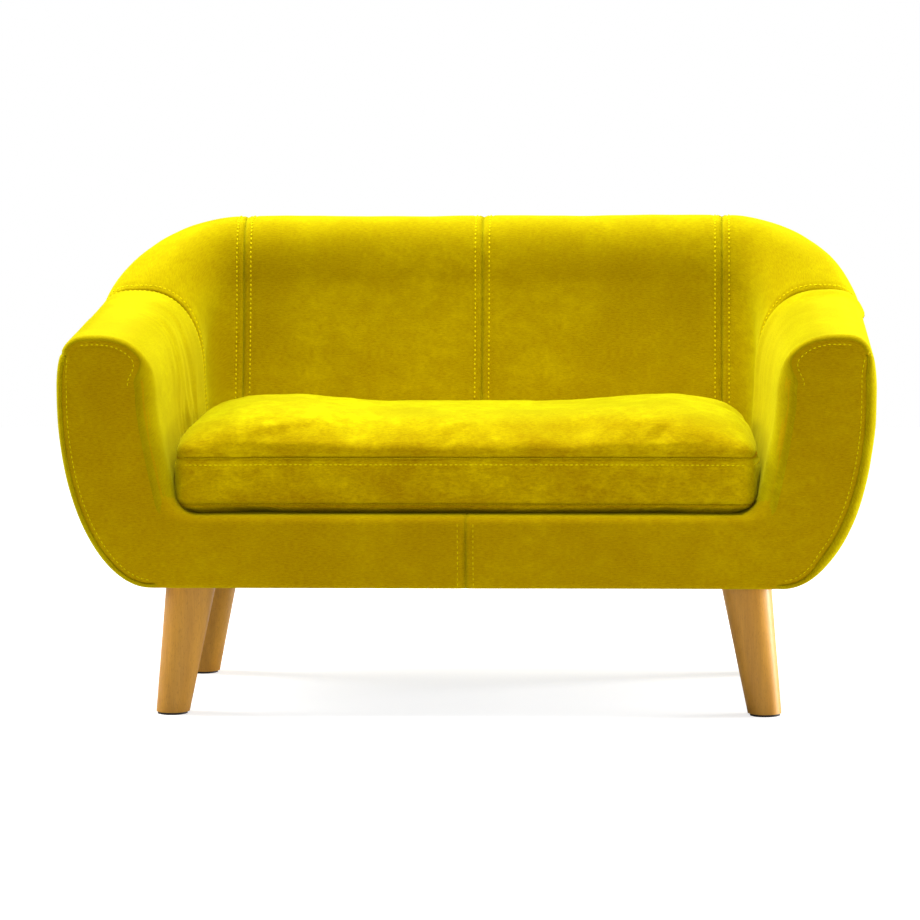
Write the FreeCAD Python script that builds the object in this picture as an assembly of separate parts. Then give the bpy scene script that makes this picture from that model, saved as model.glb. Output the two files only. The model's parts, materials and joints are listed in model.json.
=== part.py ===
"""Pet sofa bed: an upholstered wooden frame on four splayed legs, with a loose
seat cushion. Millimetres, +X right, +Y towards the back, +Z up. The origin is
on the floor, under the middle of the body."""
import FreeCAD, Part
import math
import os

Vec = FreeCAD.Vector

# ---- driving dimensions ----
HALF_WIDTH = 350.0        # outer side of the arms from the centre
FRONT_Y = -190.0          # front face of the arms and of the front band
CORNER_RADIUS = 130.0     # plan radius of the rear corners, on the outside
CORNER_Y = 60.0           # where the straight arm ends and the corner begins
CORNER_X = HALF_WIDTH - CORNER_RADIUS
REAR_Y = CORNER_Y + CORNER_RADIUS

UNDERSIDE_Z = 112.0       # underside of the upholstered body
DECK_Z = 174.0            # top of the seat deck
COVER = 1.5               # thickness of the velvet cover

# Wall sections. Distances run inwards (negative) from the outer side:
# bottom inset, widest height, crest height and inset, inner face height and
# inset, and the inset of the inner face at the deck.
ARM_FRONT = dict(bottom=-91, wide_z=275, crest_z=330, crest=-32,
                 inner_z=273, inner=-85, deck=-104)
ARM_REAR = dict(bottom=-90, wide_z=275, crest_z=353, crest=-38,
                inner_z=265, inner=-100, deck=-106)
BACK = dict(bottom=-85, wide_z=303, crest_z=415, crest=-34,
            inner_z=358, inner=-76, deck=-118)
LOWER_POWER = 2.1         # superellipse powers of the section's rounds
CREST_POWER = 3.2
SHOULDER_POWER = 2.5
INNER_CURVE = 1.25        # how the inner face leans in towards the deck
CORNER_STATIONS = 8
SEAM_INSET = 6.0          # seam between inner and outer covers, from the side
SPLIT_INSET = 45.0        # lower down, midway between inner and outer faces
SEAT_SIDE_REACH = 1.0     # how far foam and cover pass the foot of the seat side
GAP = 0.1                 # clearance between the front foam and the arms
FAR = 600.0               # reach of the boxes that only cut or divide

LEG_TOP = (240.0, -153.0, 62.0)     # x, front y and rear y of the leg tops
LEG_FOOT = (256.0, -163.0, 72.0)
LEG_TOP_RADIUS = 21.5
LEG_FOOT_RADIUS = 14.2
GLIDE_HEIGHT = 2.0
GLIDE_RADIUS = 13.0
BOLT_RADIUS = 4.0
BOLT_GRIP = 0.28          # share of the leg's height that the hanger bolt enters
BOLT_TAIL = 14.0          # what it shows above the underside
NUT_RADIUS = 5.0
NUT_HEIGHT = 9.0
FLANGE_RADIUS = 9.5
FLANGE = 1.5

BOARD = 10.0              # plywood base board
BASE = dict(half=262.0, front=-180.0, rear=98.0, corner=45.0)
PANEL = 9.0               # plywood panels in the arms and the back
RAIL_WIDTH = 18.0
RAIL_TOP = 164.0
FRONT_RAIL_Y = -176.0     # front face of the front rail
REAR_RAIL_Y = 50.0        # front face of the rear rail
SIDE_RAIL_X = 228.0       # inner face of the side rails
BLOCK = 40.0              # short sides of the corner blocks
BLOCK_HEIGHT = 26.0
ARM_PANEL = dict(x=250.0, front=-174.0, rear=78.0, top=312.0, lean=17.0)
ARM_TOP_RAIL = (302.0, -172.0, 300.0, 324.0, 70.0, 314.0)
BACK_BOARD = dict(half=215.0, y=92.0, top=388.0, lean=-11.5)
BACK_POST = dict(x0=186.0, x1=214.0, depth=16.0, top=372.0)
BACK_TOP_RAIL = (-214.0, 158.0, 374.0, 214.0, 172.0, 396.0)
CORNER_POST = dict(x=236.0, y=90.0, side=20.0, top=338.0, lean=16.0, turn=40.0)
HOOP_FRONT_Y = -185.0
HOOP_INSET = 14.0

DECK_HALF = 243.0         # deck pad, deck lining and dust cover
DECK_REAR_Y = 69.0
DECK_CORNER = 13.0
PAD_SETBACK = 3.0         # from the front cover to the deck pad
CLOTH = 1.0               # deck lining and dust cover
DUST_FRONT_Y = -184.0
DUST_REAR_Y = 71.0
WEB_WIDTH = 50.0
WEB = 1.2
WEB_X = (-165, -55, 55, 165)
WEB_Y = (-105, -5)
WEB_LENGTHWISE = (-172.0, 66.0)
WEB_HALF = 242.0

CUSHION_FRONT_Y = -186.0
CUSHION_REAR_Y = 60.0
CUSHION_HALF_FRONT = 247.0
CUSHION_HALF_REAR = 240.0
CUSHION_CORNER = 24.0
CUSHION_LOW_EDGE = 9.0
CUSHION_Z = DECK_Z + 0.8
CUSHION_SEAM_Z = 223.0
CUSHION_CROWN_Z = 256.0
CUSHION_BOTTOM_SEAM_Z = 182.0
ZIP_Z = 200.0
ZIP_HALF = 195.0
TAPE = (11.0, 0.7)        # half height and thickness of the zip tape
CHAIN = (2.0, 1.8)        # half height and thickness of the zip chain
CHAIN_SETBACK = 6.0       # from the end of the tape to the end of the chain
SLIDER = (10.0, 4.6, 9.0)
SLIDER_GAP = 0.3
EYE = dict(half_width=2.2, half_height=2.4, depth=1.5, set_in=0.8)
PIN_RADIUS = 0.5
PULL_LENGTH = 18.0
PULL_HALF_HEIGHT = 3.5
PULL_START = (1.0, 0.9)   # of the pull's tab, from the pin
PULL_THICKNESS = 1.0
LUG_RADIUS = 1.3
LUG_HALF_HEIGHT = 2.0
PIN_BORE = 0.8
PULL_HOLE = (1.6, 4.0)    # radius, and distance from the end of the pull

BOARD_Z = UNDERSIDE_Z + 2.0
FLOOR_OF_RAILS = BOARD_Z + BOARD
nodes = {}


def box(x0, y0, z0, x1, y1, z1):
    return Part.makeBox(x1 - x0, y1 - y0, z1 - z0, Vec(x0, y0, z0))


def mirrored(shape):
    return shape.mirror(Vec(0, 0, 0), Vec(1, 0, 0))


def pair(name, right):
    """A right-hand piece and its mirror image, as two nodes."""
    nodes[name + "_right"] = right
    nodes[name + "_left"] = mirrored(right)


# ---- the wall section ----
def quarter(start, end, power, steps, rises_first):
    """A superellipse quarter from start to end, which leaves start upwards or
    sideways."""
    points = []
    for i in range(steps + 1):
        angle = math.pi / 2 * i / steps
        c = max(0.0, math.cos(angle)) ** (2 / power)
        s = math.sin(angle) ** (2 / power)
        if rises_first:
            points.append((end[0] + (start[0] - end[0]) * c, start[1] + (end[1] - start[1]) * s))
        else:
            points.append((start[0] + (end[0] - start[0]) * s, end[1] + (start[1] - end[1]) * c))
    return points


def section(size, inset=0.0):
    """The wall's outline from the underside, over the crest, to the deck, as
    (distance from the outer side, height), moved inwards by inset."""
    bottom = (size["bottom"], UNDERSIDE_Z)
    wide = (0.0, size["wide_z"])
    crest = (size["crest"], size["crest_z"])
    inner = (size["inner"], size["inner_z"])
    points = quarter(bottom, wide, LOWER_POWER, 6, False)[:-1]
    points += quarter(wide, crest, CREST_POWER, 5, True)[:-1]
    points += quarter(crest, inner, SHOULDER_POWER, 5, False)[:-1]
    for i in range(5):
        t = i / 4
        points.append((inner[0] + (size["deck"] - inner[0]) * t ** INNER_CURVE,
                       inner[1] + (DECK_Z - inner[1]) * t))
    if not inset:
        return points
    moved = []
    for i, (n, z) in enumerate(points):
        before = points[max(0, i - 1)]
        after = points[min(len(points) - 1, i + 1)]
        dn, dz = after[0] - before[0], after[1] - before[1]
        length = math.hypot(dn, dz)
        moved.append((n - dz / length * inset, z + dn / length * inset))
    moved[0] = (points[0][0], UNDERSIDE_Z + inset)
    moved[-1] = (points[-1][0] + inset, DECK_Z)
    return moved


def mix(a, b, t):
    return {key: a[key] + (b[key] - a[key]) * t for key in a}


def section_wire(size, origin, outward, inset=0.0):
    """A closed section in the vertical plane through origin, along outward."""
    def place(n, z):
        return Vec(origin[0] + n * outward[0], origin[1] + n * outward[1], z)

    points = [place(n, z) for n, z in section(size, inset)]
    curve = Part.BSplineCurve()
    curve.interpolate(points)
    # An inset section still reaches the seat side below the deck, so that a
    # cover made from the two has no skin there.
    reach = size["deck"] - (SEAT_SIDE_REACH if inset else 0)
    corners = [points[-1], place(reach, DECK_Z), place(reach, points[0].z), points[0]]
    if not inset:
        corners = corners[1:]
    edges = [curve.toShape()]
    edges += [Part.makeLine(a, b) for a, b in zip(corners, corners[1:])]
    return Part.Wire(edges)


def arm_wall(inset=0.0):
    """The right arm, from the front face to the rear corner."""
    front = section_wire(ARM_FRONT, (HALF_WIDTH, FRONT_Y + inset), (1, 0), inset)
    rear = section_wire(ARM_REAR, (HALF_WIDTH, CORNER_Y), (1, 0), inset)
    return Part.makeLoft([front, rear], True, True)


def corner_size(t):
    """The section at t of the way round the corner, from the arm to the back."""
    size = mix(ARM_REAR, BACK, t * t * (3 - 2 * t))
    rise = BACK["crest_z"] - ARM_REAR["crest_z"]
    size["crest_z"] = ARM_REAR["crest_z"] + rise * math.sin(math.pi / 2 * t)
    return size


def corner_wall(inset=0.0):
    """The right rear corner of the wall."""
    wires = []
    for i in range(CORNER_STATIONS + 1):
        t = i / CORNER_STATIONS
        c, s = math.cos(math.pi / 2 * t), math.sin(math.pi / 2 * t)
        origin = (CORNER_X + CORNER_RADIUS * c, CORNER_Y + CORNER_RADIUS * s)
        wires.append(section_wire(corner_size(t), origin, (c, s), inset))
    return Part.makeLoft(wires, True, False)


def back_wall(inset=0.0):
    """The right half of the back, straight from the corner to the middle."""
    wire = section_wire(BACK, (CORNER_X, REAR_Y), (0, 1), inset)
    return Part.Face(wire).extrude(Vec(-CORNER_X, 0, 0))


# ---- covers ----
def inner_side(kind):
    """The space that divides inner covers from outer covers, for each wall."""
    zones = []
    for depth, z in ((SEAM_INSET, ARM_REAR["wide_z"]), (SPLIT_INSET, DECK_Z - 1)):
        if kind == "arm":
            zones.append(box(0, -FAR, z, HALF_WIDTH - depth, CORNER_Y, FAR))
        elif kind == "corner":
            centre = Vec(CORNER_X, CORNER_Y, z)
            zones.append(Part.makeCylinder(CORNER_RADIUS - depth, FAR - z, centre))
        else:
            zones.append(box(-1, -FAR, z, CORNER_X, REAR_Y - depth, FAR))
    return zones[0].fuse(zones[1])


def split_cover(kind, wall, core):
    """The inner and the outer cover of one wall."""
    skin = wall.cut(core)
    zone = inner_side(kind)
    return skin.common(zone), skin.cut(zone)


def make_covers():
    front_slab = box(-FAR, FRONT_Y - 1, 0, FAR, FRONT_Y + COVER, FAR)
    arm = arm_wall()
    face = arm.common(front_slab)
    band = box(0, FRONT_Y, UNDERSIDE_Z, HALF_WIDTH + ARM_FRONT["deck"], FRONT_Y + COVER, DECK_Z)
    pair("front_fascia", face.fuse(band).removeSplitter())
    inner, outer = split_cover("arm", arm.cut(front_slab), arm_wall(COVER))
    pair("arm_cover", inner)
    inner_corner, outer_corner = split_cover("corner", corner_wall(), corner_wall(COVER))
    pair("back_corner_cover", inner_corner)
    pair("outer_side_cover", outer.fuse(outer_corner))
    inner_back, outer_back = split_cover("back", back_wall(), back_wall(COVER))
    pair("back_centre_cover", inner_back)
    nodes["outer_back_cover"] = outer_back.fuse(mirrored(outer_back)).removeSplitter()


# ---- wooden frame ----
def leaning(shape, pivot, axis, degrees):
    shape.rotate(pivot, axis, degrees)
    return shape


def rounded_box(x0, y0, z0, x1, y1, z1, radius, rear_only=True):
    """A box with rounded upright corners, all of them or the rear pair."""
    shape = box(x0, y0, z0, x1, y1, z1)
    picked = []
    for edge in shape.Edges:
        upright = abs(edge.BoundBox.ZLength - (z1 - z0)) < 0.01 and edge.BoundBox.XLength < 0.01
        if upright and (not rear_only or edge.BoundBox.YMin > (y0 + y1) / 2):
            picked.append(edge)
    return shape.makeFillet(radius, picked)


def above_rails(x0=-FAR):
    """Everything above the floor that the rails stand on."""
    return box(x0, -FAR, FLOOR_OF_RAILS, FAR, FAR, FAR)


def make_rails():
    half = SIDE_RAIL_X + RAIL_WIDTH
    inside = FRONT_RAIL_Y + RAIL_WIDTH
    z0, z1 = FLOOR_OF_RAILS, RAIL_TOP
    nodes["front_rail"] = box(-half, FRONT_RAIL_Y, z0, half, inside, z1)
    nodes["rear_rail"] = box(-SIDE_RAIL_X, REAR_RAIL_Y, z0, SIDE_RAIL_X, REAR_RAIL_Y + RAIL_WIDTH, z1)
    pair("side_rail", box(SIDE_RAIL_X, inside, z0, half, REAR_RAIL_Y + RAIL_WIDTH, z1))
    nodes["centre_rail"] = box(-RAIL_WIDTH / 2, inside, z0, RAIL_WIDTH / 2, REAR_RAIL_Y, z1)
    blocks = []
    for x_side in (-1, 1):
        for y, toward in ((inside, BLOCK), (REAR_RAIL_Y, -BLOCK)):
            x = x_side * SIDE_RAIL_X
            corner = [Vec(x, y, z0), Vec(x - x_side * BLOCK, y, z0), Vec(x, y + toward, z0)]
            face = Part.Face(Part.makePolygon(corner + corner[:1]))
            blocks.append(face.extrude(Vec(0, 0, BLOCK_HEIGHT)))
    nodes["corner_blocks"] = Part.makeCompound(blocks)


def make_arm_frame():
    z0, panel = FLOOR_OF_RAILS, ARM_PANEL
    side = box(panel["x"], panel["front"], z0, panel["x"] + PANEL, panel["rear"], panel["top"])
    side = leaning(side, Vec(panel["x"], 0, z0), Vec(0, 1, 0), panel["lean"]).common(above_rails(0))
    rail = box(*ARM_TOP_RAIL)
    pair("arm_panel", side.cut(rail))
    pair("arm_top_rail", rail)


def make_back_frame():
    z0, board, post = FLOOR_OF_RAILS, BACK_BOARD, BACK_POST
    pivot, axis = Vec(0, board["y"], z0), Vec(1, 0, 0)
    rear = board["y"] + PANEL
    sheet = box(-board["half"], board["y"], z0, board["half"], rear, board["top"])
    sheet = leaning(sheet, pivot, axis, board["lean"]).common(above_rails())
    upright = box(post["x0"], rear, z0, post["x1"], rear + post["depth"], post["top"])
    upright = leaning(upright, pivot, axis, board["lean"]).common(above_rails())
    top_rail = box(*BACK_TOP_RAIL)
    nodes["back_board"] = sheet.cut(top_rail)
    pair("back_post", upright.cut(top_rail))
    nodes["back_top_rail"] = top_rail

    post = CORNER_POST
    half, turn = post["side"] / 2, math.radians(post["turn"])
    upright = box(post["x"] - half, post["y"] - half, z0 - half,
                  post["x"] + half, post["y"] + half, post["top"])
    hinge_line = Vec(-math.sin(turn), math.cos(turn), 0)
    upright = leaning(upright, Vec(post["x"], post["y"], z0), hinge_line, post["lean"])
    pair("corner_post", upright.common(above_rails()))


def make_frame():
    base = BASE
    nodes["base_board"] = rounded_box(-base["half"], base["front"], BOARD_Z,
                                      base["half"], base["rear"], FLOOR_OF_RAILS, base["corner"])
    make_rails()
    make_arm_frame()
    make_back_frame()
    wire = section_wire(ARM_FRONT, (HALF_WIDTH, HOOP_FRONT_Y), (1, 0), HOOP_INSET)
    hoop = Part.Face(wire).extrude(Vec(0, PANEL, 0))
    foot = HALF_WIDTH + ARM_FRONT["deck"]
    sill = box(0, HOOP_FRONT_Y, BOARD_Z, foot, HOOP_FRONT_Y + PANEL, RAIL_TOP)
    half = hoop.fuse(sill).cut(nodes["base_board"])
    nodes["front_hoop"] = half.fuse(mirrored(half)).removeSplitter()
    for name in ("arm_panel_right", "arm_panel_left", "arm_top_rail_right", "arm_top_rail_left"):
        nodes[name] = nodes[name].cut(nodes["front_hoop"])


# ---- legs ----
def leg_axis(x_side, front):
    top_y = LEG_TOP[1] if front else LEG_TOP[2]
    foot_y = LEG_FOOT[1] if front else LEG_FOOT[2]
    return Vec(x_side * LEG_TOP[0], top_y, UNDERSIDE_Z), Vec(x_side * LEG_FOOT[0], foot_y, 0)


def make_leg(top, foot):
    """A leg with its hanger bolt, its tee nut and its glide."""
    rise = top - foot
    low = foot - rise * 0.1
    high = foot + rise * 1.1
    spread = LEG_TOP_RADIUS - LEG_FOOT_RADIUS
    cone = Part.makeCone(LEG_FOOT_RADIUS - 0.1 * spread, LEG_TOP_RADIUS + 0.1 * spread,
                         (high - low).Length, low, rise)
    leg = cone.common(box(-FAR, -FAR, GLIDE_HEIGHT, FAR, FAR, BOARD_Z))
    below_rails = box(-FAR, -FAR, 0, FAR, FAR, FLOOR_OF_RAILS)
    bolt = Part.makeCylinder(BOLT_RADIUS, rise.Length * BOLT_GRIP + BOLT_TAIL,
                             foot + rise * (1 - BOLT_GRIP), rise).common(below_rails)
    nut_z = FLOOR_OF_RAILS - FLANGE / 3 - NUT_HEIGHT
    nut = Part.makeCylinder(NUT_RADIUS, NUT_HEIGHT, Vec(top.x, top.y, nut_z))
    flange = Part.makeCylinder(FLANGE_RADIUS, FLANGE, Vec(top.x, top.y, FLOOR_OF_RAILS - FLANGE))
    glide = Part.makeCylinder(GLIDE_RADIUS, GLIDE_HEIGHT, Vec(foot.x, foot.y, 0))
    return leg.cut(bolt), bolt, nut.fuse(flange).common(below_rails).cut(bolt), glide


def make_legs():
    bolts, nuts = [], []
    for x_side, side in ((-1, "left"), (1, "right")):
        for front, end in ((True, "front"), (False, "rear")):
            leg, bolt, nut, glide = make_leg(*leg_axis(x_side, front))
            nodes["leg_%s_%s" % (end, side)] = leg
            nodes["glide_%s_%s" % (end, side)] = glide
            bolts.append(bolt)
            nuts.append(nut)
    nodes["hanger_bolts"] = Part.makeCompound(bolts)
    nodes["tee_nuts"] = Part.makeCompound(nuts)
    nodes["base_board"] = nodes["base_board"].cut(nodes["tee_nuts"]).cut(nodes["hanger_bolts"])


# ---- seat deck and underside ----
def make_deck():
    z, half = RAIL_TOP, WEB_WIDTH / 2
    y0, y1 = WEB_LENGTHWISE
    straps = [box(x - half, y0, z, x + half, y1, z + WEB) for x in WEB_X]
    nodes["webbing_lengthwise"] = Part.makeCompound(straps)
    z += WEB
    straps = [box(-WEB_HALF, y - half, z, WEB_HALF, y + half, z + WEB) for y in WEB_Y]
    nodes["webbing_crosswise"] = Part.makeCompound(straps)
    z += WEB
    front, lining_z = FRONT_Y + COVER, DECK_Z - CLOTH
    nodes["deck_pad"] = rounded_box(-DECK_HALF, front + PAD_SETBACK, z,
                                    DECK_HALF, DECK_REAR_Y, lining_z, DECK_CORNER)
    nodes["deck_cloth"] = rounded_box(-DECK_HALF, front, lining_z,
                                      DECK_HALF, DECK_REAR_Y, DECK_Z, DECK_CORNER)
    sheet = rounded_box(-DECK_HALF, DUST_FRONT_Y, UNDERSIDE_Z,
                        DECK_HALF, DUST_REAR_Y, UNDERSIDE_Z + CLOTH, DECK_CORNER)
    for name in ("front_left", "front_right", "rear_left", "rear_right"):
        sheet = sheet.cut(nodes["leg_" + name])
    nodes["dust_cover"] = sheet.cut(nodes["hanger_bolts"])


# ---- padding ----
def make_padding():
    frame = ["base_board", "front_hoop", "front_rail", "dust_cover", "back_board", "back_top_rail"]
    frame += ["tee_nuts", "hanger_bolts"]
    for name in ("arm_panel", "arm_top_rail", "back_post", "corner_post", "side_rail"):
        frame += [name + "_left", name + "_right"]
    frame += ["leg_front_left", "leg_front_right", "leg_rear_left", "leg_rear_right"]

    def carved(shape):
        for name in frame:
            if shape.BoundBox.intersect(nodes[name].BoundBox):
                shape = shape.cut(nodes[name])
        return shape

    arm = arm_wall(COVER)
    nodes["arm_foam_right"] = carved(arm)
    nodes["arm_foam_left"] = carved(mirrored(arm))
    half = back_wall(COVER)
    nodes["back_foam"] = carved(half.fuse(mirrored(half)).removeSplitter())
    corner = corner_wall(COVER)
    nodes["corner_foam_right"] = carved(corner)
    nodes["corner_foam_left"] = carved(mirrored(corner))
    half_pad = HALF_WIDTH + ARM_FRONT["deck"] - SEAT_SIDE_REACH - GAP
    nodes["front_foam"] = box(-half_pad, FRONT_Y + COVER, UNDERSIDE_Z + CLOTH,
                              half_pad, HOOP_FRONT_Y, RAIL_TOP)


def trim_covers():
    """The covers are cut round the leg tops and the bolts where they turn under
    the body."""
    for side in ("left", "right"):
        for name in ("outer_side_cover_" + side, "outer_back_cover"):
            for end in ("front", "rear"):
                nodes[name] = nodes[name].cut(nodes["leg_%s_%s" % (end, side)])
            nodes[name] = nodes[name].cut(nodes["hanger_bolts"])


# ---- loose cushion and its zip ----
def cushion_block(inset=0.0):
    """A box cushion with a crowned top, narrower towards the back."""
    front, rear = CUSHION_FRONT_Y + inset, CUSHION_REAR_Y - inset
    wide, narrow = CUSHION_HALF_FRONT - inset, CUSHION_HALF_REAR - inset
    outline = [Vec(-wide, front, 0), Vec(wide, front, 0), Vec(narrow, rear, 0), Vec(-narrow, rear, 0)]
    base = CUSHION_Z + inset
    face = Part.Face(Part.makePolygon(outline + outline[:1]))
    face.translate(Vec(0, 0, base))
    height = CUSHION_CROWN_Z - base + CUSHION_LOW_EDGE
    block = face.extrude(Vec(0, 0, height))
    upright = [e for e in block.Edges if e.BoundBox.ZLength > height / 2]
    block = block.makeFillet(CUSHION_CORNER - inset, upright)
    low = [e for e in block.Edges if e.BoundBox.ZMax < base + 0.01]
    block = block.makeFillet(CUSHION_LOW_EDGE - inset, low)
    half = (rear - front) / 2
    sagitta = CUSHION_CROWN_Z - CUSHION_SEAM_Z
    radius = (half * half + sagitta * sagitta) / (2 * sagitta)
    centre = Vec(-FAR, (front + rear) / 2, CUSHION_CROWN_Z - inset - radius)
    return block.common(Part.makeCylinder(radius, 2 * FAR, centre, Vec(1, 0, 0)))


def make_cushion():
    whole, core = cushion_block(), cushion_block(COVER)
    skin = whole.cut(core)
    lower = box(-FAR, -FAR, 0, FAR, FAR, CUSHION_BOTTOM_SEAM_Z)
    upper = box(-FAR, -FAR, CUSHION_SEAM_Z - 2, FAR, FAR, FAR)
    nodes["cushion_foam"] = core
    nodes["cushion_top_panel"] = skin.common(upper)
    nodes["cushion_bottom_panel"] = skin.common(lower)
    nodes["cushion_boxing"] = skin.cut(upper).cut(lower)


def make_zip():
    tape_half, tape = TAPE
    chain_half, chain = CHAIN
    y = CUSHION_REAR_Y
    nodes["zip_tape"] = box(-ZIP_HALF, y, ZIP_Z - tape_half, ZIP_HALF, y + tape, ZIP_Z + tape_half)
    x0, y0 = -ZIP_HALF + CHAIN_SETBACK, y + tape
    y1 = y0 + chain
    nodes["zip_chain"] = box(x0, y0, ZIP_Z - chain_half, -x0, y1, ZIP_Z + chain_half)

    length, depth, height = SLIDER
    back = y0 + SLIDER_GAP
    body = box(x0, back, ZIP_Z - height / 2, x0 + length, back + depth, ZIP_Z + height / 2)
    around = chain_half + SLIDER_GAP
    slot = box(x0 - 1, y0, ZIP_Z - around, x0 + length + 1, y1 + SLIDER_GAP, ZIP_Z + around)
    eye_x, eye_y = x0 + length / 2, back + depth - EYE["set_in"]
    wide, high = EYE["half_width"], EYE["half_height"]
    notch = box(eye_x - wide, eye_y - EYE["depth"], ZIP_Z - high, eye_x + wide, eye_y + depth, ZIP_Z + high)
    end = EYE["set_in"]
    pin = Part.makeCylinder(PIN_RADIUS, height - 2 * end, Vec(eye_x, eye_y, ZIP_Z - height / 2 + end))
    nodes["zip_slider"] = body.cut(slot).cut(notch).fuse(pin)

    tab_x, tab_y = eye_x + PULL_START[0], eye_y + PULL_START[1]
    tab_end = tab_y + PULL_THICKNESS
    tab = box(tab_x, tab_y, ZIP_Z - PULL_HALF_HEIGHT, eye_x + PULL_LENGTH, tab_end, ZIP_Z + PULL_HALF_HEIGHT)
    low, high = ZIP_Z - LUG_HALF_HEIGHT, ZIP_Z + LUG_HALF_HEIGHT
    lug = Part.makeCylinder(LUG_RADIUS, high - low, Vec(eye_x, eye_y, low))
    lug = lug.fuse(box(eye_x, eye_y - PIN_RADIUS + 0.1, low, tab_x + 1, tab_end, high))
    bore = Part.makeCylinder(PIN_BORE, 2 * height, Vec(eye_x, eye_y, ZIP_Z - height))
    radius, from_end = PULL_HOLE
    hole = Part.makeCylinder(radius, depth * 2, Vec(eye_x + PULL_LENGTH - from_end, eye_y - depth, ZIP_Z),
                             Vec(0, 1, 0))
    nodes["zip_pull"] = tab.fuse(lug).cut(bore).cut(hole)


def write_nodes():
    os.makedirs("parts", exist_ok=True)
    for name in sorted(nodes):
        shape = nodes[name]
        print("%-24s solids %2d valid %s volume %9.0f" % (
            name, len(shape.Solids), shape.isValid(), shape.Volume))
        shape.exportStep("parts/%s.step" % name)


make_covers()
make_frame()
make_legs()
make_deck()
make_padding()
trim_covers()
make_cushion()
make_zip()
write_nodes()
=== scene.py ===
import bmesh
import bpy
import json
import math
import numpy as np
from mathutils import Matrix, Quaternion, Vector, noise
from mathutils.bvhtree import BVHTree


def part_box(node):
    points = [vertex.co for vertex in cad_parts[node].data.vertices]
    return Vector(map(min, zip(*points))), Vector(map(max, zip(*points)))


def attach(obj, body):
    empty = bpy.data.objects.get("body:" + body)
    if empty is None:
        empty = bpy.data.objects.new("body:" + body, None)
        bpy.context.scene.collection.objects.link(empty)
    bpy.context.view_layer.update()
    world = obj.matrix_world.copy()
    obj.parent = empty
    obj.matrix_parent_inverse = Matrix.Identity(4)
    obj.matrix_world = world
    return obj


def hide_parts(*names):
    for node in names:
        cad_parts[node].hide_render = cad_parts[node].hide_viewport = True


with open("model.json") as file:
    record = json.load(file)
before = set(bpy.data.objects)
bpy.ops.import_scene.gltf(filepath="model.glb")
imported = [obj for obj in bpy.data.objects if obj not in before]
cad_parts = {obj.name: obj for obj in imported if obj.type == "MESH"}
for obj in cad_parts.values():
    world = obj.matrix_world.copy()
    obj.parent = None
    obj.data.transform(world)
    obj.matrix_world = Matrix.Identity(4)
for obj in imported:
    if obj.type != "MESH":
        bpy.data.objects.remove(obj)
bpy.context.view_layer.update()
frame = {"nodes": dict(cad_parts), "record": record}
print("frame loaded")

mm = 0.001
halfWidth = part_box("outer_side_cover_right")[1].x
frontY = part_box("front_fascia_right")[0].y
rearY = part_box("outer_back_cover")[1].y
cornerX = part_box("outer_back_cover")[1].x
cornerRadius = halfWidth - cornerX
cornerY = rearY - cornerRadius
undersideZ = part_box("front_fascia_right")[0].z
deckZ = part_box("deck_cloth")[1].z
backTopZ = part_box("back_centre_cover_right")[1].z
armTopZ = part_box("arm_foam_right")[1].z + 1.5 * mm

# wall sections: bottom inset, widest height, crest, inner face, foot of the inner face
armFront = dict(bottom=-80 * mm, wideZ=275 * mm, crestZ=330 * mm, crest=-32 * mm,
                innerZ=273 * mm, inner=-85 * mm, deck=-104 * mm)
armRear = dict(bottom=-79 * mm, wideZ=275 * mm, crestZ=armTopZ, crest=-38 * mm,
               innerZ=265 * mm, inner=-100 * mm, deck=-106 * mm)
backWall = dict(bottom=-74 * mm, wideZ=303 * mm, crestZ=backTopZ, crest=-34 * mm,
                innerZ=358 * mm, inner=-76 * mm, deck=-118 * mm)
wall = dict(lowerPower=2.0, crestPower=3.2, shoulderPower=2.5, innerCurve=1.25, seamAngle=0.4, faceReach=1.12,
            lowerSteps=60, crestSteps=50, innerSteps=50, faceSteps=40)

upholstery = dict(
    thickness=1.2 * mm, seamDepth=1.5 * mm, seamWidth=4.5 * mm, stitchOffset=6.4 * mm, stitchDimple=0.7 * mm,
    bottomRadius=4 * mm, crestRadius=5.5 * mm, seatRadius=18 * mm, sideRadius=dict(left=5 * mm, right=9 * mm),
    waviness=0.9 * mm, crestDepth=0.8 * mm, crestFade=45 * mm,
    turnUnder=44 * mm, underRise=1.1 * mm, underSteps=15)
armEnds = dict(left=dict(depth=2.6 * mm, armWidth=9 * mm, backWidth=7 * mm, bulge=0.6 * mm),
               right=dict(depth=5.5 * mm, armWidth=22 * mm, backWidth=11 * mm, bulge=3.0 * mm))
folds = dict(start=90 * mm, top=45 * mm, foot=205 * mm, spacing=22 * mm, reach=100 * mm,
             seed=dict(left=3.37, right=8.37), depth=dict(left=2.2 * mm, right=0.5 * mm))
seatEdge = dict(fillet=20 * mm, bandRadius=8 * mm, returnLength=34 * mm, tuck=2.5 * mm, rise=0.6 * mm)


# small helpers
def smooth(t):
    t = np.clip(t, 0.0, 1.0)
    return t * t * (3 - 2 * t)


def mix(a, b, t):
    return {key: a[key] + (b[key] - a[key]) * t for key in a}


def linked(obj):
    bpy.context.scene.collection.objects.link(obj)
    return obj


def meshObject(name, verts, faces, material=None, smoothShade=True):
    mesh = bpy.data.meshes.new(name)
    mesh.from_pydata([tuple(v) for v in verts], [], [tuple(f) for f in faces])
    mesh.validate()
    if smoothShade:
        mesh.polygons.foreach_set("use_smooth", [True] * len(mesh.polygons))
    if material:
        mesh.materials.append(material)
    return linked(bpy.data.objects.new(name, mesh))


def applyModifiers(obj):
    # the evaluated shape becomes the piece's own plain mesh
    deps = bpy.context.evaluated_depsgraph_get()
    mesh = bpy.data.meshes.new_from_object(obj.evaluated_get(deps))
    obj.modifiers.clear()
    old = obj.data
    obj.data = mesh
    bpy.data.meshes.remove(old)
    mesh.name = obj.name
    return obj


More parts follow.
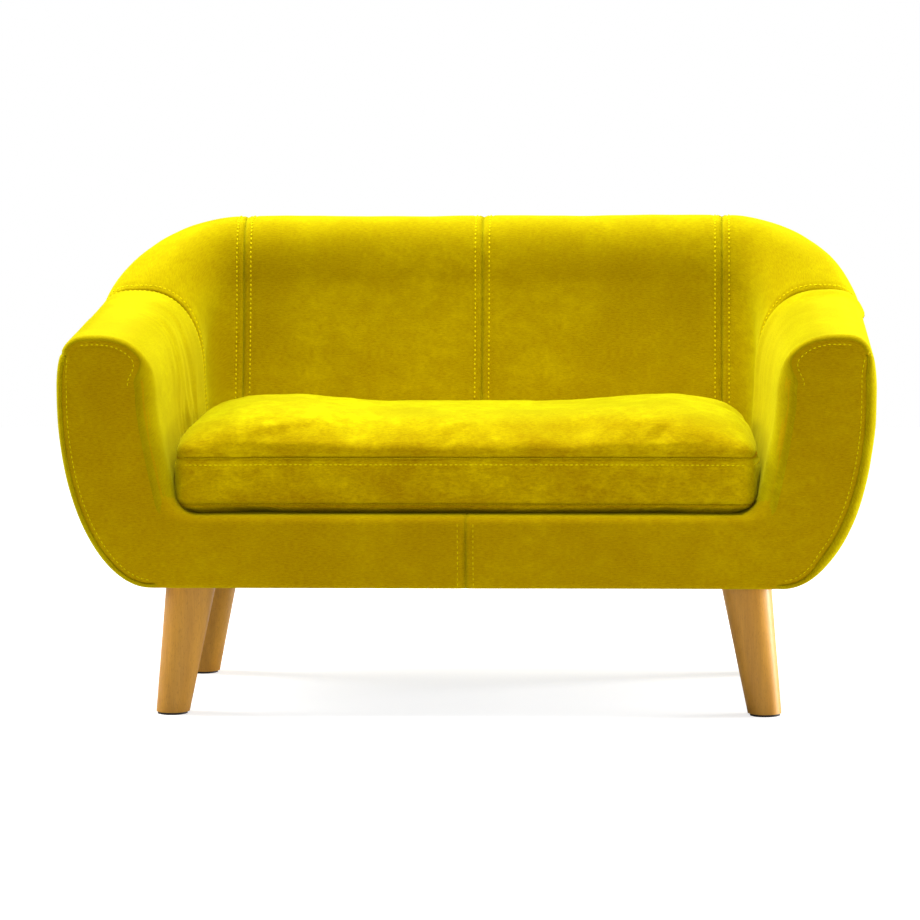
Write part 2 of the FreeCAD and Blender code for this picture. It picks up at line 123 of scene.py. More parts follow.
def waves(point, size, seed):
    # soft noise from -1 to 1 over about size metres
    p = Vector(point) / size + Vector((seed * 7.3, seed * 1.7, seed * 3.1))
    return noise.noise(p)


# materials
def newMaterial(name):
    material = bpy.data.materials.new(name)
    material.use_nodes = True
    tree = material.node_tree
    return material, tree, tree.nodes["Principled BSDF"]


def addNode(tree, kind, **values):
    node = tree.nodes.new(kind)
    for key, value in values.items():
        setattr(node, key, value)
    return node


def setInputs(node, values):
    for key, value in values.items():
        node.inputs[key].default_value = value
    return node


def makeGroup(name, inputs, outputs):
    group = bpy.data.node_groups.new(name, "ShaderNodeTree")
    for title, kind, value in inputs:
        socket = group.interface.new_socket(title, in_out="INPUT", socket_type=kind)
        if value is not None:
            socket.default_value = value
    for title, kind in outputs:
        group.interface.new_socket(title, in_out="OUTPUT", socket_type=kind)
    return group, group.nodes.new("NodeGroupInput"), group.nodes.new("NodeGroupOutput")


def mathNode(tree, operation, a, b=None, clamp=False):
    node = addNode(tree, "ShaderNodeMath", operation=operation, use_clamp=clamp)
    for index, value in enumerate((a, b)):
        if value is None:
            continue
        if isinstance(value, (int, float)):
            node.inputs[index].default_value = value
        else:
            tree.links.new(value, node.inputs[index])
    return node.outputs[0]


def colourMix(tree, factor, a, b, blend="MIX"):
    node = addNode(tree, "ShaderNodeMix", data_type="RGBA", blend_type=blend)
    for socket, value in ((node.inputs[0], factor), (node.inputs[6], a), (node.inputs[7], b)):
        if isinstance(value, (int, float, tuple)):
            socket.default_value = value
        else:
            tree.links.new(value, socket)
    return node.outputs[2]


def noiseNode(tree, vector, scale, detail=3.0, roughness=0.55, stretch=(1, 1, 1)):
    mapping = addNode(tree, "ShaderNodeMapping")
    mapping.inputs["Scale"].default_value = stretch
    tree.links.new(vector, mapping.inputs["Vector"])
    node = addNode(tree, "ShaderNodeTexNoise")
    setInputs(node, {"Scale": scale, "Detail": detail, "Roughness": roughness})
    tree.links.new(mapping.outputs[0], node.inputs["Vector"])
    return node.outputs["Fac"]


def rampNode(tree, factor, stops):
    node = addNode(tree, "ShaderNodeValToRGB")
    ramp = node.color_ramp
    while len(ramp.elements) < len(stops):
        ramp.elements.new(0.5)
    for element, (place, value) in zip(ramp.elements, stops):
        element.position = place
        element.color = (value, value, value, 1)
    tree.links.new(factor, node.inputs["Fac"])
    return node.outputs["Color"]


def buildNapGroup():
    # brushed pile: broad strokes where the nap lies over, and fine ribs of the weave
    group, gin, gout = makeGroup(
        "pileNap",
        [("Vector", "NodeSocketVector", None), ("Place", "NodeSocketVector", None),
         ("Dark", "NodeSocketColor", (0.3, 0.2, 0, 1)), ("Light", "NodeSocketColor", (0.8, 0.7, 0, 1)),
         ("Stroke", "NodeSocketFloat", 1.0)],
        [("Color", "NodeSocketColor"), ("Roughness", "NodeSocketFloat"), ("Height", "NodeSocketFloat")])
    cloth, place = gin.outputs["Vector"], gin.outputs["Place"]
    broad = noiseNode(group, place, 14.0, 4.0, 0.6)
    stroke = noiseNode(group, place, 75.0, 4.0, 0.7, (1, 1, 1.5))
    grain = noiseNode(group, cloth, 1300.0, 2.0, 0.7, (0.6, 1.2, 1))
    ribs = noiseNode(group, cloth, 700.0, 1.0, 0.5, (0.35, 1.4, 1))
    broadMask = rampNode(group, broad, [(0.36, 0.0), (0.66, 1.0)])
    strokeMask = rampNode(group, stroke, [(0.40, 0.0), (0.64, 1.0)])
    patch = mathNode(group, "MULTIPLY", broadMask, strokeMask)
    patch = mathNode(group, "ADD", mathNode(group, "MULTIPLY", patch, 0.55),
                     mathNode(group, "MULTIPLY", broadMask, 0.25))
    patch = mathNode(group, "MULTIPLY", patch, gin.outputs["Stroke"])
    fine = mathNode(group, "ADD", mathNode(group, "MULTIPLY", grain, 0.5),
                    mathNode(group, "MULTIPLY", ribs, 0.5))
    fineShade = mathNode(group, "MULTIPLY", mathNode(group, "SUBTRACT", fine, 0.5), 1.7)
    total = mathNode(group, "ADD", mathNode(group, "ADD", patch, 0.22), fineShade, clamp=True)
    colour = colourMix(group, total, gin.outputs["Dark"], gin.outputs["Light"])
    group.links.new(colour, gout.inputs["Color"])
    rough = mathNode(group, "SUBTRACT", 0.92, mathNode(group, "MULTIPLY", patch, 0.18))
    group.links.new(rough, gout.inputs["Roughness"])
    height = mathNode(group, "ADD", fine, mathNode(group, "MULTIPLY", patch, 0.6))
    group.links.new(height, gout.inputs["Height"])
    return group


def buildGrainGroup():
    # wood: long fibres along Z, soft growth bands and the short flecks of the rays
    group, gin, gout = makeGroup(
        "woodGrain",
        [("Vector", "NodeSocketVector", None), ("Dark", "NodeSocketColor", (0.4, 0.2, 0.1, 1)),
         ("Light", "NodeSocketColor", (0.7, 0.5, 0.3, 1)), ("Bands", "NodeSocketFloat", 0.5)],
        [("Color", "NodeSocketColor"), ("Roughness", "NodeSocketFloat"), ("Height", "NodeSocketFloat")])
    vector = gin.outputs["Vector"]
    fibres = noiseNode(group, vector, 900.0, 3.0, 0.6, (1, 1, 0.035))
    bands = noiseNode(group, vector, 90.0, 2.0, 0.5, (1, 1, 0.08))
    flecks = noiseNode(group, vector, 1200.0, 1.0, 0.5, (1, 1, 0.22))
    fleckMask = rampNode(group, flecks, [(0.60, 0.0), (0.68, 1.0)])
    bandMask = rampNode(group, bands, [(0.35, 0.0), (0.68, 1.0)])
    shade = mathNode(group, "ADD", mathNode(group, "MULTIPLY", fibres, 0.55),
                     mathNode(group, "MULTIPLY", bandMask, gin.outputs["Bands"]))
    colour = colourMix(group, shade, gin.outputs["Light"], gin.outputs["Dark"])
    colour = colourMix(group, mathNode(group, "MULTIPLY", fleckMask, 0.35), colour, gin.outputs["Dark"])
    group.links.new(colour, gout.inputs["Color"])
    rough = mathNode(group, "ADD", 0.36, mathNode(group, "MULTIPLY", fibres, 0.22))
    group.links.new(rough, gout.inputs["Roughness"])
    height = mathNode(group, "SUBTRACT", fibres, mathNode(group, "MULTIPLY", fleckMask, 0.4))
    group.links.new(height, gout.inputs["Height"])
    return group


napGroup = buildNapGroup()
grainGroup = buildGrainGroup()


def bumpInto(tree, shader, height, strength, distance):
    bump = setInputs(addNode(tree, "ShaderNodeBump"), {"Strength": strength, "Distance": distance})
    tree.links.new(height, bump.inputs["Height"])
    tree.links.new(bump.outputs[0], shader.inputs["Normal"])


def velvetMaterial(name, dark, light, stroke, paintedShadeRed, paintedSheenRed, cloth="UV"):
    material, tree, shader = newMaterial(name)
    coords = addNode(tree, "ShaderNodeTexCoord")
    nap = addNode(tree, "ShaderNodeGroup", node_tree=napGroup)
    tree.links.new(coords.outputs[cloth], nap.inputs["Vector"])
    tree.links.new(coords.outputs["Object"], nap.inputs["Place"])
    setInputs(nap, {"Dark": dark, "Light": light, "Stroke": stroke})
    facing = setInputs(addNode(tree, "ShaderNodeLayerWeight"), {"Blend": 0.5}).outputs["Facing"]
    # painted sheen and shade: the base colour is deeper straight on, and lighter and greener where the pile
    # is seen from the side
    paintedSheenTint = colourMix(tree, facing, (paintedShadeRed, 1.0, 1.0, 1), (paintedSheenRed, 1.12, 1.0, 1))
    tree.links.new(colourMix(tree, 1.0, nap.outputs["Color"], paintedSheenTint, "MULTIPLY"), shader.inputs["Base Color"])
    tree.links.new(nap.outputs["Roughness"], shader.inputs["Roughness"])
    bumpInto(tree, shader, nap.outputs["Height"], 0.45, 0.6 * mm)
    setInputs(shader, {"Specular IOR Level": 0.02, "Sheen Weight": 0.6, "Sheen Roughness": 0.4,
                       "Sheen Tint": (1.0, 0.9, 0.02, 1)})
    return material


def woodMaterial(name, dark, light, bands, coat):
    material, tree, shader = newMaterial(name)
    coords = addNode(tree, "ShaderNodeTexCoord")
    grain = addNode(tree, "ShaderNodeGroup", node_tree=grainGroup)
    tree.links.new(coords.outputs["Object"], grain.inputs["Vector"])
    setInputs(grain, {"Dark": dark, "Light": light, "Bands": bands})
    tree.links.new(grain.outputs["Color"], shader.inputs["Base Color"])
    tree.links.new(grain.outputs["Roughness"], shader.inputs["Roughness"])
    bumpInto(tree, shader, grain.outputs["Height"], 0.12, 0.2 * mm)
    setInputs(shader, {"Coat Weight": coat, "Coat Roughness": 0.25})
    return material


def plainMaterial(name, dark, light, scale, roughness, metallic=0.0, bump=0.2, stretch=(1, 1, 1), shine=0.5):
    # one noise drives colour, roughness and relief
    material, tree, shader = newMaterial(name)
    coords = addNode(tree, "ShaderNodeTexCoord")
    speckle = noiseNode(tree, coords.outputs["Object"], scale, 4.0, 0.6, stretch)
    mask = rampNode(tree, speckle, [(0.35, 0.0), (0.65, 1.0)])
    tree.links.new(colourMix(tree, mask, dark, light), shader.inputs["Base Color"])
    rough = mathNode(tree, "ADD", roughness - 0.08, mathNode(tree, "MULTIPLY", speckle, 0.16))
    tree.links.new(rough, shader.inputs["Roughness"])
    bumpInto(tree, shader, speckle, bump, 0.4 * mm)
    setInputs(shader, {"Metallic": metallic, "Specular IOR Level": shine})
    return material


looks = dict(
    velvet=velvetMaterial(
        "yellowVelvet", (0.403, 0.262, 0.0, 1), (0.69, 0.555, 0.0, 1), 0.55, 1.0, 0.9),
    # a copy of the velvet for the front panels, more orange and redder straight on: painted shade for the
    # faces turned to the camera
    shadedFrontVelvet=velvetMaterial(
        "yellowVelvetShadedFront", (0.44, 0.258, 0.0, 1), (0.71, 0.535, 0.0, 1), 0.45, 1.06, 0.94),
    # a copy of the velvet for the cushion, lighter and more lemon, with a stronger straight-on and side tint:
    # painted light and sheen for the lit cushion top; its pile pattern follows object space
    litCushionVelvet=velvetMaterial(
        "yellowVelvetCushionLit", (0.40, 0.255, 0.0, 1), (0.70, 0.60, 0.0, 1), 1.0, 1.18, 0.87, "Object"),
    welt=plainMaterial("yellowWelt", (0.42, 0.26, 0.0, 1), (0.62, 0.46, 0.0, 1), 900, 0.9, shine=0.02),
    thread=plainMaterial("yellowThread", (0.86, 0.72, 0.0, 1), (1.0, 0.88, 0.0, 1), 900, 0.7, shine=0.05),
    beech=woodMaterial("lacqueredBeech", (0.50, 0.20, 0.01, 1), (0.88, 0.43, 0.04, 1), 0.35, 0.1),
    pine=woodMaterial("sawnPine", (0.52, 0.33, 0.15, 1), (0.78, 0.60, 0.36, 1), 0.6, 0.0),
    plywood=woodMaterial("birchPlywood", (0.50, 0.34, 0.18, 1), (0.74, 0.58, 0.38, 1), 0.25, 0.0),
    foam=plainMaterial("upholsteryFoam", (0.80, 0.76, 0.62, 1), (0.93, 0.90, 0.80, 1), 700, 0.9, bump=0.6),
    webbing=plainMaterial("elasticWebbing", (0.03, 0.03, 0.03, 1), (0.12, 0.12, 0.12, 1), 900, 0.8,
                          stretch=(1, 0.2, 1)),
    deckCloth=plainMaterial("yellowLining", (0.42, 0.31, 0.01, 1), (0.52, 0.39, 0.02, 1), 1200, 0.85,
                            stretch=(0.3, 1, 1)),
    dustCloth=plainMaterial("spunbondDustCloth", (0.012, 0.012, 0.012, 1), (0.035, 0.035, 0.035, 1), 500, 0.9,
                            bump=0.5),
    steel=plainMaterial("zincPlatedSteel", (0.45, 0.45, 0.46, 1), (0.65, 0.65, 0.67, 1), 400, 0.35, 1.0,
                        0.05),
    glide=plainMaterial("blackGlide", (0.012, 0.011, 0.010, 1), (0.035, 0.032, 0.03, 1), 600, 0.55),
    zipTape=plainMaterial("zipTape", (0.42, 0.32, 0.01, 1), (0.60, 0.48, 0.02, 1), 1500, 0.8,
                          stretch=(1, 1, 0.2)),
    zipMetal=plainMaterial("zipMetal", (0.50, 0.42, 0.20, 1), (0.72, 0.64, 0.36, 1), 300, 0.3, 1.0, 0.04),
    zipTeeth=plainMaterial("zipTeeth", (0.52, 0.42, 0.02, 1), (0.62, 0.52, 0.03, 1), 900, 0.4, bump=0.05))


# the wall of arms and back
def quarterCurve(start, end, power, steps, risesFirst):
    angles = np.linspace(0, math.pi / 2, steps + 1)
    c, s = np.abs(np.cos(angles)) ** (2 / power), np.abs(np.sin(angles)) ** (2 / power)
    if risesFirst:
        return np.stack([end[0] + (start[0] - end[0]) * c, start[1] + (end[1] - start[1]) * s], 1)
    return np.stack([start[0] + (end[0] - start[0]) * s, end[1] + (start[1] - end[1]) * c], 1)


def resample(points, count):
    steps = np.r_[0, np.cumsum(np.linalg.norm(np.diff(points, axis=0), axis=1))]
    at = np.linspace(0, steps[-1], count)
    return np.stack([np.interp(at, steps, points[:, k]) for k in range(points.shape[1])], 1)


def wallOutline(size, zone, count):
    # (distance from the outer side, height): "outer" runs up from the underside to the crest seam,
    # "inner" from the crest seam over the top and down the seat side; the body is on the left
    wide, crest = (0.0, size["wideZ"]), (size["crest"], size["crestZ"])
    inner = (size["inner"], size["innerZ"])
    lower = quarterCurve((size["bottom"], undersideZ), wide, wall["lowerPower"], wall["lowerSteps"], False)
    outerCrest = quarterCurve(wide, crest, wall["crestPower"], wall["crestSteps"], True)
    innerCrest = quarterCurve(crest, inner, wall["shoulderPower"], wall["innerSteps"], False)
    t = np.linspace(0, wall["faceReach"], wall["faceSteps"])
    face = np.stack([inner[0] + (size["deck"] - inner[0]) * t ** wall["innerCurve"],
                     inner[1] + (deckZ - inner[1]) * t], 1)
    seam = int(wall["seamAngle"] * wall["crestSteps"])
    if zone == "inner":
        points = np.concatenate([outerCrest[seam:-1], innerCrest[:-1], face])
    else:
        points = np.concatenate([lower[:-1], outerCrest[:seam + 1]])
    return resample(points, count)


def coverOutline(size, zone, count, under):
    # the outer cover also turns under the body, a little above its lowest line
    line = wallOutline(size, zone, count)
    if not under:
        return line
    back = np.linspace(1, 0, upholstery["underSteps"])[:-1]
    strip = np.stack([line[0, 0] - upholstery["turnUnder"] * back,
                      undersideZ + upholstery["underRise"] * smooth(back * 4)], 1)
    return np.concatenate([strip, line])


def cornerSize(t):
    size = mix(armRear, backWall, float(smooth(t)))
    size["crestZ"] = armRear["crestZ"] + (backWall["crestZ"] - armRear["crestZ"]) * math.sin(math.pi / 2 * t)
    return size


def station(run, t):
    # origin on the outer side, outward direction and section size at t along one run of the wall
    if run == "arm":
        return (halfWidth, frontY + (cornerY - frontY) * t), (1.0, 0.0), mix(armFront, armRear, t)
    if run == "corner":
        c, s = math.cos(math.pi / 2 * t), math.sin(math.pi / 2 * t)
        return (cornerX + cornerRadius * c, cornerY + cornerRadius * s), (c, s), cornerSize(t)
    return (cornerX * (1 - t), rearY), (0.0, 1.0), dict(backWall)


def normalsOf(grid):
    n = np.cross(np.gradient(grid, axis=0), np.gradient(grid, axis=1))
    return n / np.maximum(np.linalg.norm(n, axis=2, keepdims=True), 1e-12)


def leftNormals(line):
    tangent = np.gradient(line, axis=0)
    tangent /= np.maximum(np.linalg.norm(tangent, axis=1, keepdims=True), 1e-12)
    return np.stack([-tangent[:, 1], tangent[:, 0]], 1)


def frontRadiusAt(z, zone, side):
    # how far the front edge is rounded at height z of the front section
    low = upholstery["bottomRadius"] if zone == "outer" else upholstery["seatRadius"]
    high = upholstery["sideRadius"][side] if zone == "outer" else upholstery["seatRadius"]
    radius = low + (high - low) * smooth((z - undersideZ) / (25 * mm))
    return radius + (upholstery["crestRadius"] - radius) * smooth((z - 292 * mm) / (22 * mm))


def wallGrid(runs, zone, count, side, under=False):
    # rows of points over one or more runs of the right-hand wall, from the front to the back
    rows = []
    frontLine = coverOutline(armFront, zone, count, under)
    radius = frontRadiusAt(frontLine[:, 1], zone, side)
    for run, steps in runs:
        if run == "round":
            for angle in np.linspace(0, math.pi / 2, steps + 1)[:-1]:
                flat = frontLine + leftNormals(frontLine) * (radius * (1 - math.sin(angle)))[:, None]
                y = frontY + radius * (1 - math.cos(angle))
                rows.append(np.stack([halfWidth + flat[:, 0], y, flat[:, 1]], 1))
            continue
        for t in np.linspace(0, 1, steps + 1):
            if rows and t == 0 and run != "arm":
                continue
            o, d, size = station(run, t)
            outline = coverOutline(size, zone, count, under)
            row = np.stack([o[0] + outline[:, 0] * d[0], o[1] + outline[:, 0] * d[1], outline[:, 1]], 1)
            if run == "arm":
                row[:, 1] = frontY + radius + (cornerY - frontY - radius) * t
            rows.append(row)
    return np.array(rows)


def edgeDistances(grid):
    alongU = np.linalg.norm(np.diff(grid, axis=0), axis=2)
    alongV = np.linalg.norm(np.diff(grid, axis=1), axis=2)
    u0 = np.concatenate([np.zeros((1, grid.shape[1])), np.cumsum(alongU, 0)])
    v0 = np.concatenate([np.zeros((grid.shape[0], 1)), np.cumsum(alongV, 1)], 1)
    return dict(u0=u0, u1=u0[-1:] - u0, v0=v0, v1=v0[:, -1:] - v0)


def seamDip(distance, depth, width):
    t = np.clip(1 - distance / width, 0, 1)
    return -depth * (1 - np.sqrt(1 - 0.98 * t * t)) / 0.8586


def stitchDip(distance, offset, depth):
    return -depth * np.exp(-((distance - offset) / (1.5 * mm)) ** 2)


def softWaves(grid, seed, mask):
    lift = np.zeros(grid.shape[:2])
    for i in range(grid.shape[0]):
        for j in range(grid.shape[1]):
            p = grid[i, j]
            lift[i, j] = waves(p, 0.07, seed) + 0.5 * waves(p, 0.028, seed + 5)
    return lift * mask * upholstery["waviness"]


def sewPanel(grid, edges, extra=None, seed=1, shallowAtCrest=()):
    # edges: name -> (depth, width, stitched); the panel dips into each seam and under each stitched row,
    # and the edges named in shallowAtCrest flatten out where they meet the crest seam
    distances = edgeDistances(grid)
    lift = np.zeros(grid.shape[:2])
    mask = np.ones(grid.shape[:2])
    for name, (depth, width, sewn) in edges.items():
        d = distances[name]
        if name in shallowAtCrest:
            crest = upholstery["crestDepth"]
            depth = crest + (depth - crest) * smooth(distances["v0"] / upholstery["crestFade"])
        lift += seamDip(d, depth, width)
        if sewn:
            lift += stitchDip(d, upholstery["stitchOffset"], upholstery["stitchDimple"])
        mask = mask * smooth(d / (20 * mm))
    lift += softWaves(grid, seed, mask)
    if extra is not None:
        lift += extra(distances)
    return grid + normalsOf(grid) * lift[:, :, None], distances


def panelObject(name, grid, material, thickness=None, uv=None, holes=()):
    rows, cols = grid.shape[:2]
    index = np.arange(rows * cols).reshape(rows, cols)
    faces = np.stack([index[:-1, :-1], index[1:, :-1], index[1:, 1:], index[:-1, 1:]], 2).reshape(-1, 4)
    obj = meshObject(name, grid.reshape(-1, 3), faces, material)
    if uv is None:
        distances = edgeDistances(grid)
        uv = np.stack([distances["u0"], distances["v0"]], 2)
    layer = obj.data.uv_layers.new(name="cloth")
    loops = np.zeros(len(obj.data.loops), dtype=np.int32)
    obj.data.loops.foreach_get("vertex_index", loops)
    layer.data.foreach_set("uv", uv.reshape(-1, 2)[loops].astype(np.float32).ravel())
    build = bmesh.new()
    build.from_mesh(obj.data)
    bmesh.ops.remove_doubles(build, verts=build.verts, dist=1e-5)
    cut = [f for f in build.faces for x, y, r in holes
           if math.hypot(f.calc_center_median().x - x, f.calc_center_median().y - y) < r]
    bmesh.ops.delete(build, geom=cut, context="FACES")
    build.to_mesh(obj.data)
    build.free()
    solid = obj.modifiers.new("thickness", "SOLIDIFY")
    solid.thickness = thickness or upholstery["thickness"]
    solid.offset = -1.0
    return applyModifiers(obj)


def mirrorGrid(grid):
    flipped = grid[::-1].copy()
    flipped[:, :, 0] *= -1
    return flipped


def rowAt(grid, distances, edge, offset, lift=0.15 * mm):
    # the line that runs at offset from one edge of a panel, a little above its surface
    d = distances[edge]
    raised = grid + normalsOf(grid) * lift
    points = []
    for k in range(grid.shape[1] if edge[0] == "u" else grid.shape[0]):
        away, track = (d[:, k], raised[:, k]) if edge[0] == "u" else (d[k], raised[k])
        if away[0] > away[-1]:
            away, track = away[::-1], track[::-1]
        points.append([np.interp(offset, away, track[:, a]) for a in range(3)])
    return np.array(points)


# stitches, staples and zip teeth
def buildBeadTree():
    tree = bpy.data.node_groups.new("beadRow", "GeometryNodeTree")
    face = tree.interface
    face.new_socket("Geometry", in_out="INPUT", socket_type="NodeSocketGeometry")
    for title, value in (("Pitch", 4 * mm), ("Length", 2.5 * mm), ("Width", 0.8 * mm), ("Height", 0.8 * mm)):
        face.new_socket(title, in_out="INPUT", socket_type="NodeSocketFloat").default_value = value
    face.new_socket("Material", in_out="INPUT", socket_type="NodeSocketMaterial")
    face.new_socket("Geometry", in_out="OUTPUT", socket_type="NodeSocketGeometry")
    gin, gout = tree.nodes.new("NodeGroupInput"), tree.nodes.new("NodeGroupOutput")
    toCurve = tree.nodes.new("GeometryNodeMeshToCurve")
    upright = tree.nodes.new("GeometryNodeSetCurveNormal")
    upright.mode = "Z_UP"
    points = tree.nodes.new("GeometryNodeCurveToPoints")
    points.mode = "LENGTH"
    bead = setInputs(tree.nodes.new("GeometryNodeMeshUVSphere"), {"Segments": 8, "Rings": 6, "Radius": 0.5})
    scale = tree.nodes.new("ShaderNodeCombineXYZ")
    placed = tree.nodes.new("GeometryNodeInstanceOnPoints")
    real = tree.nodes.new("GeometryNodeRealizeInstances")
    shade = tree.nodes.new("GeometryNodeSetShadeSmooth")
    paint = tree.nodes.new("GeometryNodeSetMaterial")
    link = tree.links.new
    link(gin.outputs["Geometry"], toCurve.inputs[0])
    link(toCurve.outputs[0], upright.inputs[0])
    link(upright.outputs[0], points.inputs["Curve"])
    link(gin.outputs["Pitch"], points.inputs["Length"])
    for axis, title in (("X", "Height"), ("Y", "Width"), ("Z", "Length")):
        link(gin.outputs[title], scale.inputs[axis])
    link(points.outputs["Points"], placed.inputs["Points"])
    link(bead.outputs["Mesh"], placed.inputs["Instance"])
    link(points.outputs["Rotation"], placed.inputs["Rotation"])
    link(scale.outputs[0], placed.inputs["Scale"])
    link(placed.outputs[0], real.inputs[0])
    link(real.outputs[0], shade.inputs["Geometry"])
    link(shade.outputs[0], paint.inputs["Geometry"])
    link(gin.outputs["Material"], paint.inputs["Material"])
    link(paint.outputs[0], gout.inputs[0])
    return tree


beadTree = buildBeadTree()


def beadRows(name, paths, body, look, material, closed=False):
    verts, edges = [], []
    for path in paths:
        start = len(verts)
        path = resample(np.array(path), max(8, len(path) * 2))
        verts += [tuple(p) for p in path]
        edges += [(start + k, start + k + 1) for k in range(len(path) - 1)]
    mesh = bpy.data.meshes.new(name)
    mesh.from_pydata(verts, edges, [])
    obj = linked(bpy.data.objects.new(name, mesh))
    modifier = obj.modifiers.new("beads", "NODES")
    modifier.node_group = beadTree
    values = dict(look, Material=looks[material])
    for item in beadTree.interface.items_tree:
        if item.in_out == "INPUT" and item.name in values:
            modifier[item.identifier] = values[item.name]
    applyModifiers(obj)
    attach(obj, body)
    return obj


stitchLook = dict(Pitch=4.3 * mm, Length=2.3 * mm, Width=1.9 * mm, Height=1.4 * mm)
seamStitchLook = dict(Pitch=4.3 * mm, Length=2.4 * mm, Width=1.4 * mm, Height=1.1 * mm)
fasciaStitchLook = dict(Pitch=4.3 * mm, Length=2.6 * mm, Width=0.8 * mm, Height=0.6 * mm)

# covers
seam = (upholstery["seamDepth"], upholstery["seamWidth"], True)
frontSeam = (0.8 * mm, 3.5 * mm, False)
crestSeam = (1.0 * mm, 4 * mm, False)
counts = dict(inner=92, outer=78, armRows=110, cornerRows=56, backRows=64)
foamGap = 3.4 * mm
foamThickness = 8 * mm


def armFolds(side, u, v):
    # stretch folds that run over the crest and down the seat side, u from the front and v from the crest seam
    length = u.max()
    window = smooth((u - folds["start"]) / (50 * mm)) * smooth((length - 30 * mm - u) / (30 * mm))
    window *= smooth((v - folds["top"]) / (50 * mm)) * smooth((folds["foot"] - v) / (30 * mm))
    ripple = np.zeros(u.shape)
    for i in range(u.shape[0]):
        for j in range(u.shape[1]):
            place = (u[i, j] / folds["spacing"], v[i, j] / folds["reach"], folds["seed"][side])
            ripple[i, j] = noise.noise(Vector(place))
    return folds["depth"][side] * window * (0.6 - np.abs(ripple) * 2.6)


def armShape(side, first, last):
    end = armEnds[side]

    def shape(distances):
        fromRear = distances[last] - end["armWidth"] - 4 * mm
        bulge = end["bulge"] * np.exp(-(fromRear / (13 * mm)) ** 2)
        return armFolds(side, distances[first], distances["v0"]) + bulge
    return shape


def dressWall():
    rows = dict(back=[], arm=[], outer=[])
    for side in ("right", "left"):
        flip = side == "left"
        end = armEnds[side]
        first, last = ("u1", "u0") if flip else ("u0", "u1")
        armSeam = (end["depth"], end["armWidth"], True)
        cornerSeam = (end["depth"], end["backWidth"], True)
        runs = dict(
            arm=([("round", 8), ("arm", counts["armRows"])], "inner", "arm_cover",
                 {first: frontSeam, last: armSeam, "v0": crestSeam}, armShape(side, first, last), "arm_foam"),
            corner=([("corner", counts["cornerRows"])], "inner", "back_corner_cover",
                    {first: cornerSeam, last: seam, "v0": crestSeam}, None, "corner_foam"),
            back=([("back", counts["backRows"])], "inner", "back_centre_cover",
                  {first: seam, last: seam, "v0": crestSeam}, None, "back_foam"),
            outer=([("round", 8), ("arm", counts["armRows"]), ("corner", counts["cornerRows"])], "outer",
                   "outer_side_cover", {first: frontSeam, last: seam, "v1": crestSeam}, None, "corner_foam"))
        for key, (parts, zone, node, edges, extra, foam) in runs.items():
            raw = wallGrid(parts, zone, counts[zone], side, zone == "outer")
            raw = mirrorGrid(raw) if flip else raw
            seed = dict(arm=1, corner=2, back=3, outer=4)[key] + 3 * flip
            grid, distances = sewPanel(raw, edges, extra, seed, ("u0", "u1") if zone == "inner" else ())
            obj = panelObject(node.replace("_cover", "_sewn") + "_" + side, grid, looks["velvet"])
            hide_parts(node + "_" + side)
            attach(obj, "frame")
            at = upholstery["stitchOffset"]
            if key == "arm":
                rows["arm"].append(rowAt(grid, distances, last, at))
            elif key == "corner":
                rows["arm"].append(rowAt(grid, distances, first, at))
                rows["back"].append(rowAt(grid, distances, last, at))
            elif key == "back":
                rows["back"] += [rowAt(grid, distances, edge, at) for edge in (first, last)]
            else:
                rows["outer"].append(rowAt(grid, distances, last, at))
    half = wallGrid([("back", counts["backRows"])], "outer", counts["outer"], "right", True)
    whole = np.concatenate([half, mirrorGrid(half)[1:]])
    grid, distances = sewPanel(whole, {"u0": seam, "u1": seam, "v1": crestSeam}, None, 6)
    obj = panelObject("outer_back_sewn", grid, looks["velvet"])
    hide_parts("outer_back_cover")
    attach(obj, "frame")
    rows["outer"] += [rowAt(grid, distances, edge, upholstery["stitchOffset"]) for edge in ("u0", "u1")]
    beadRows("back_seam_stitches", rows["back"], "frame", stitchLook, "thread")
    beadRows("arm_seam_stitches", rows["arm"], "frame", seamStitchLook, "thread")
    beadRows("outer_seam_stitches", rows["outer"], "frame", seamStitchLook, "thread")


def wholeWall(runs, side):
    # the outside, the crest and the seat side of the wall as one sheet of points
    outer = wallGrid(runs, "outer", 40, side)
    inner = wallGrid(runs, "inner", 46, side)
    return np.concatenate([outer, inner[:, 1:]], 1)


def foamPiece(name, grid, nodes):
    normals = normalsOf(grid)
    obj = panelObject(name, grid - normals * foamGap, looks["foam"], foamThickness)
    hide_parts(*nodes)
    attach(obj, "frame")


def seamRelief(grid, first, last):
    distances = edgeDistances(grid)
    lift = np.zeros(grid.shape[:2])
    for edge, pair in (("u0", first), ("u1", last)):
        if pair:
            lift += seamDip(distances[edge], pair[0] + 0.4 * mm, pair[1] + 3 * mm)
    return grid + normalsOf(grid) * lift[:, :, None]


def stuffWall():
    for side in ("right", "left"):
        end = armEnds[side]
        arm = wholeWall([("arm", 24)], side)
        arm[:, :, 1] = np.linspace(frontY + 12 * mm, cornerY, len(arm))[:, None]
        arm = seamRelief(arm, None, (end["depth"], end["armWidth"]))
        corner = wholeWall([("corner", 26)], side)
        corner = seamRelief(corner, (end["depth"], end["backWidth"]), (seam[0], seam[1]))
        if side == "left":
            arm, corner = mirrorGrid(arm), mirrorGrid(corner)
        foamPiece("arm_foam_wrap_" + side, arm, ["arm_foam_" + side])
        foamPiece("corner_foam_wrap_" + side, corner, ["corner_foam_" + side])
    half = seamRelief(wholeWall([("back", 20)], "right"), (seam[0], seam[1]), (seam[0], seam[1]))
    foamPiece("back_foam_wrap", np.concatenate([half, mirrorGrid(half)[1:]]), ["back_foam"])


dressWall()
stuffWall()
print("arms and back dressed")


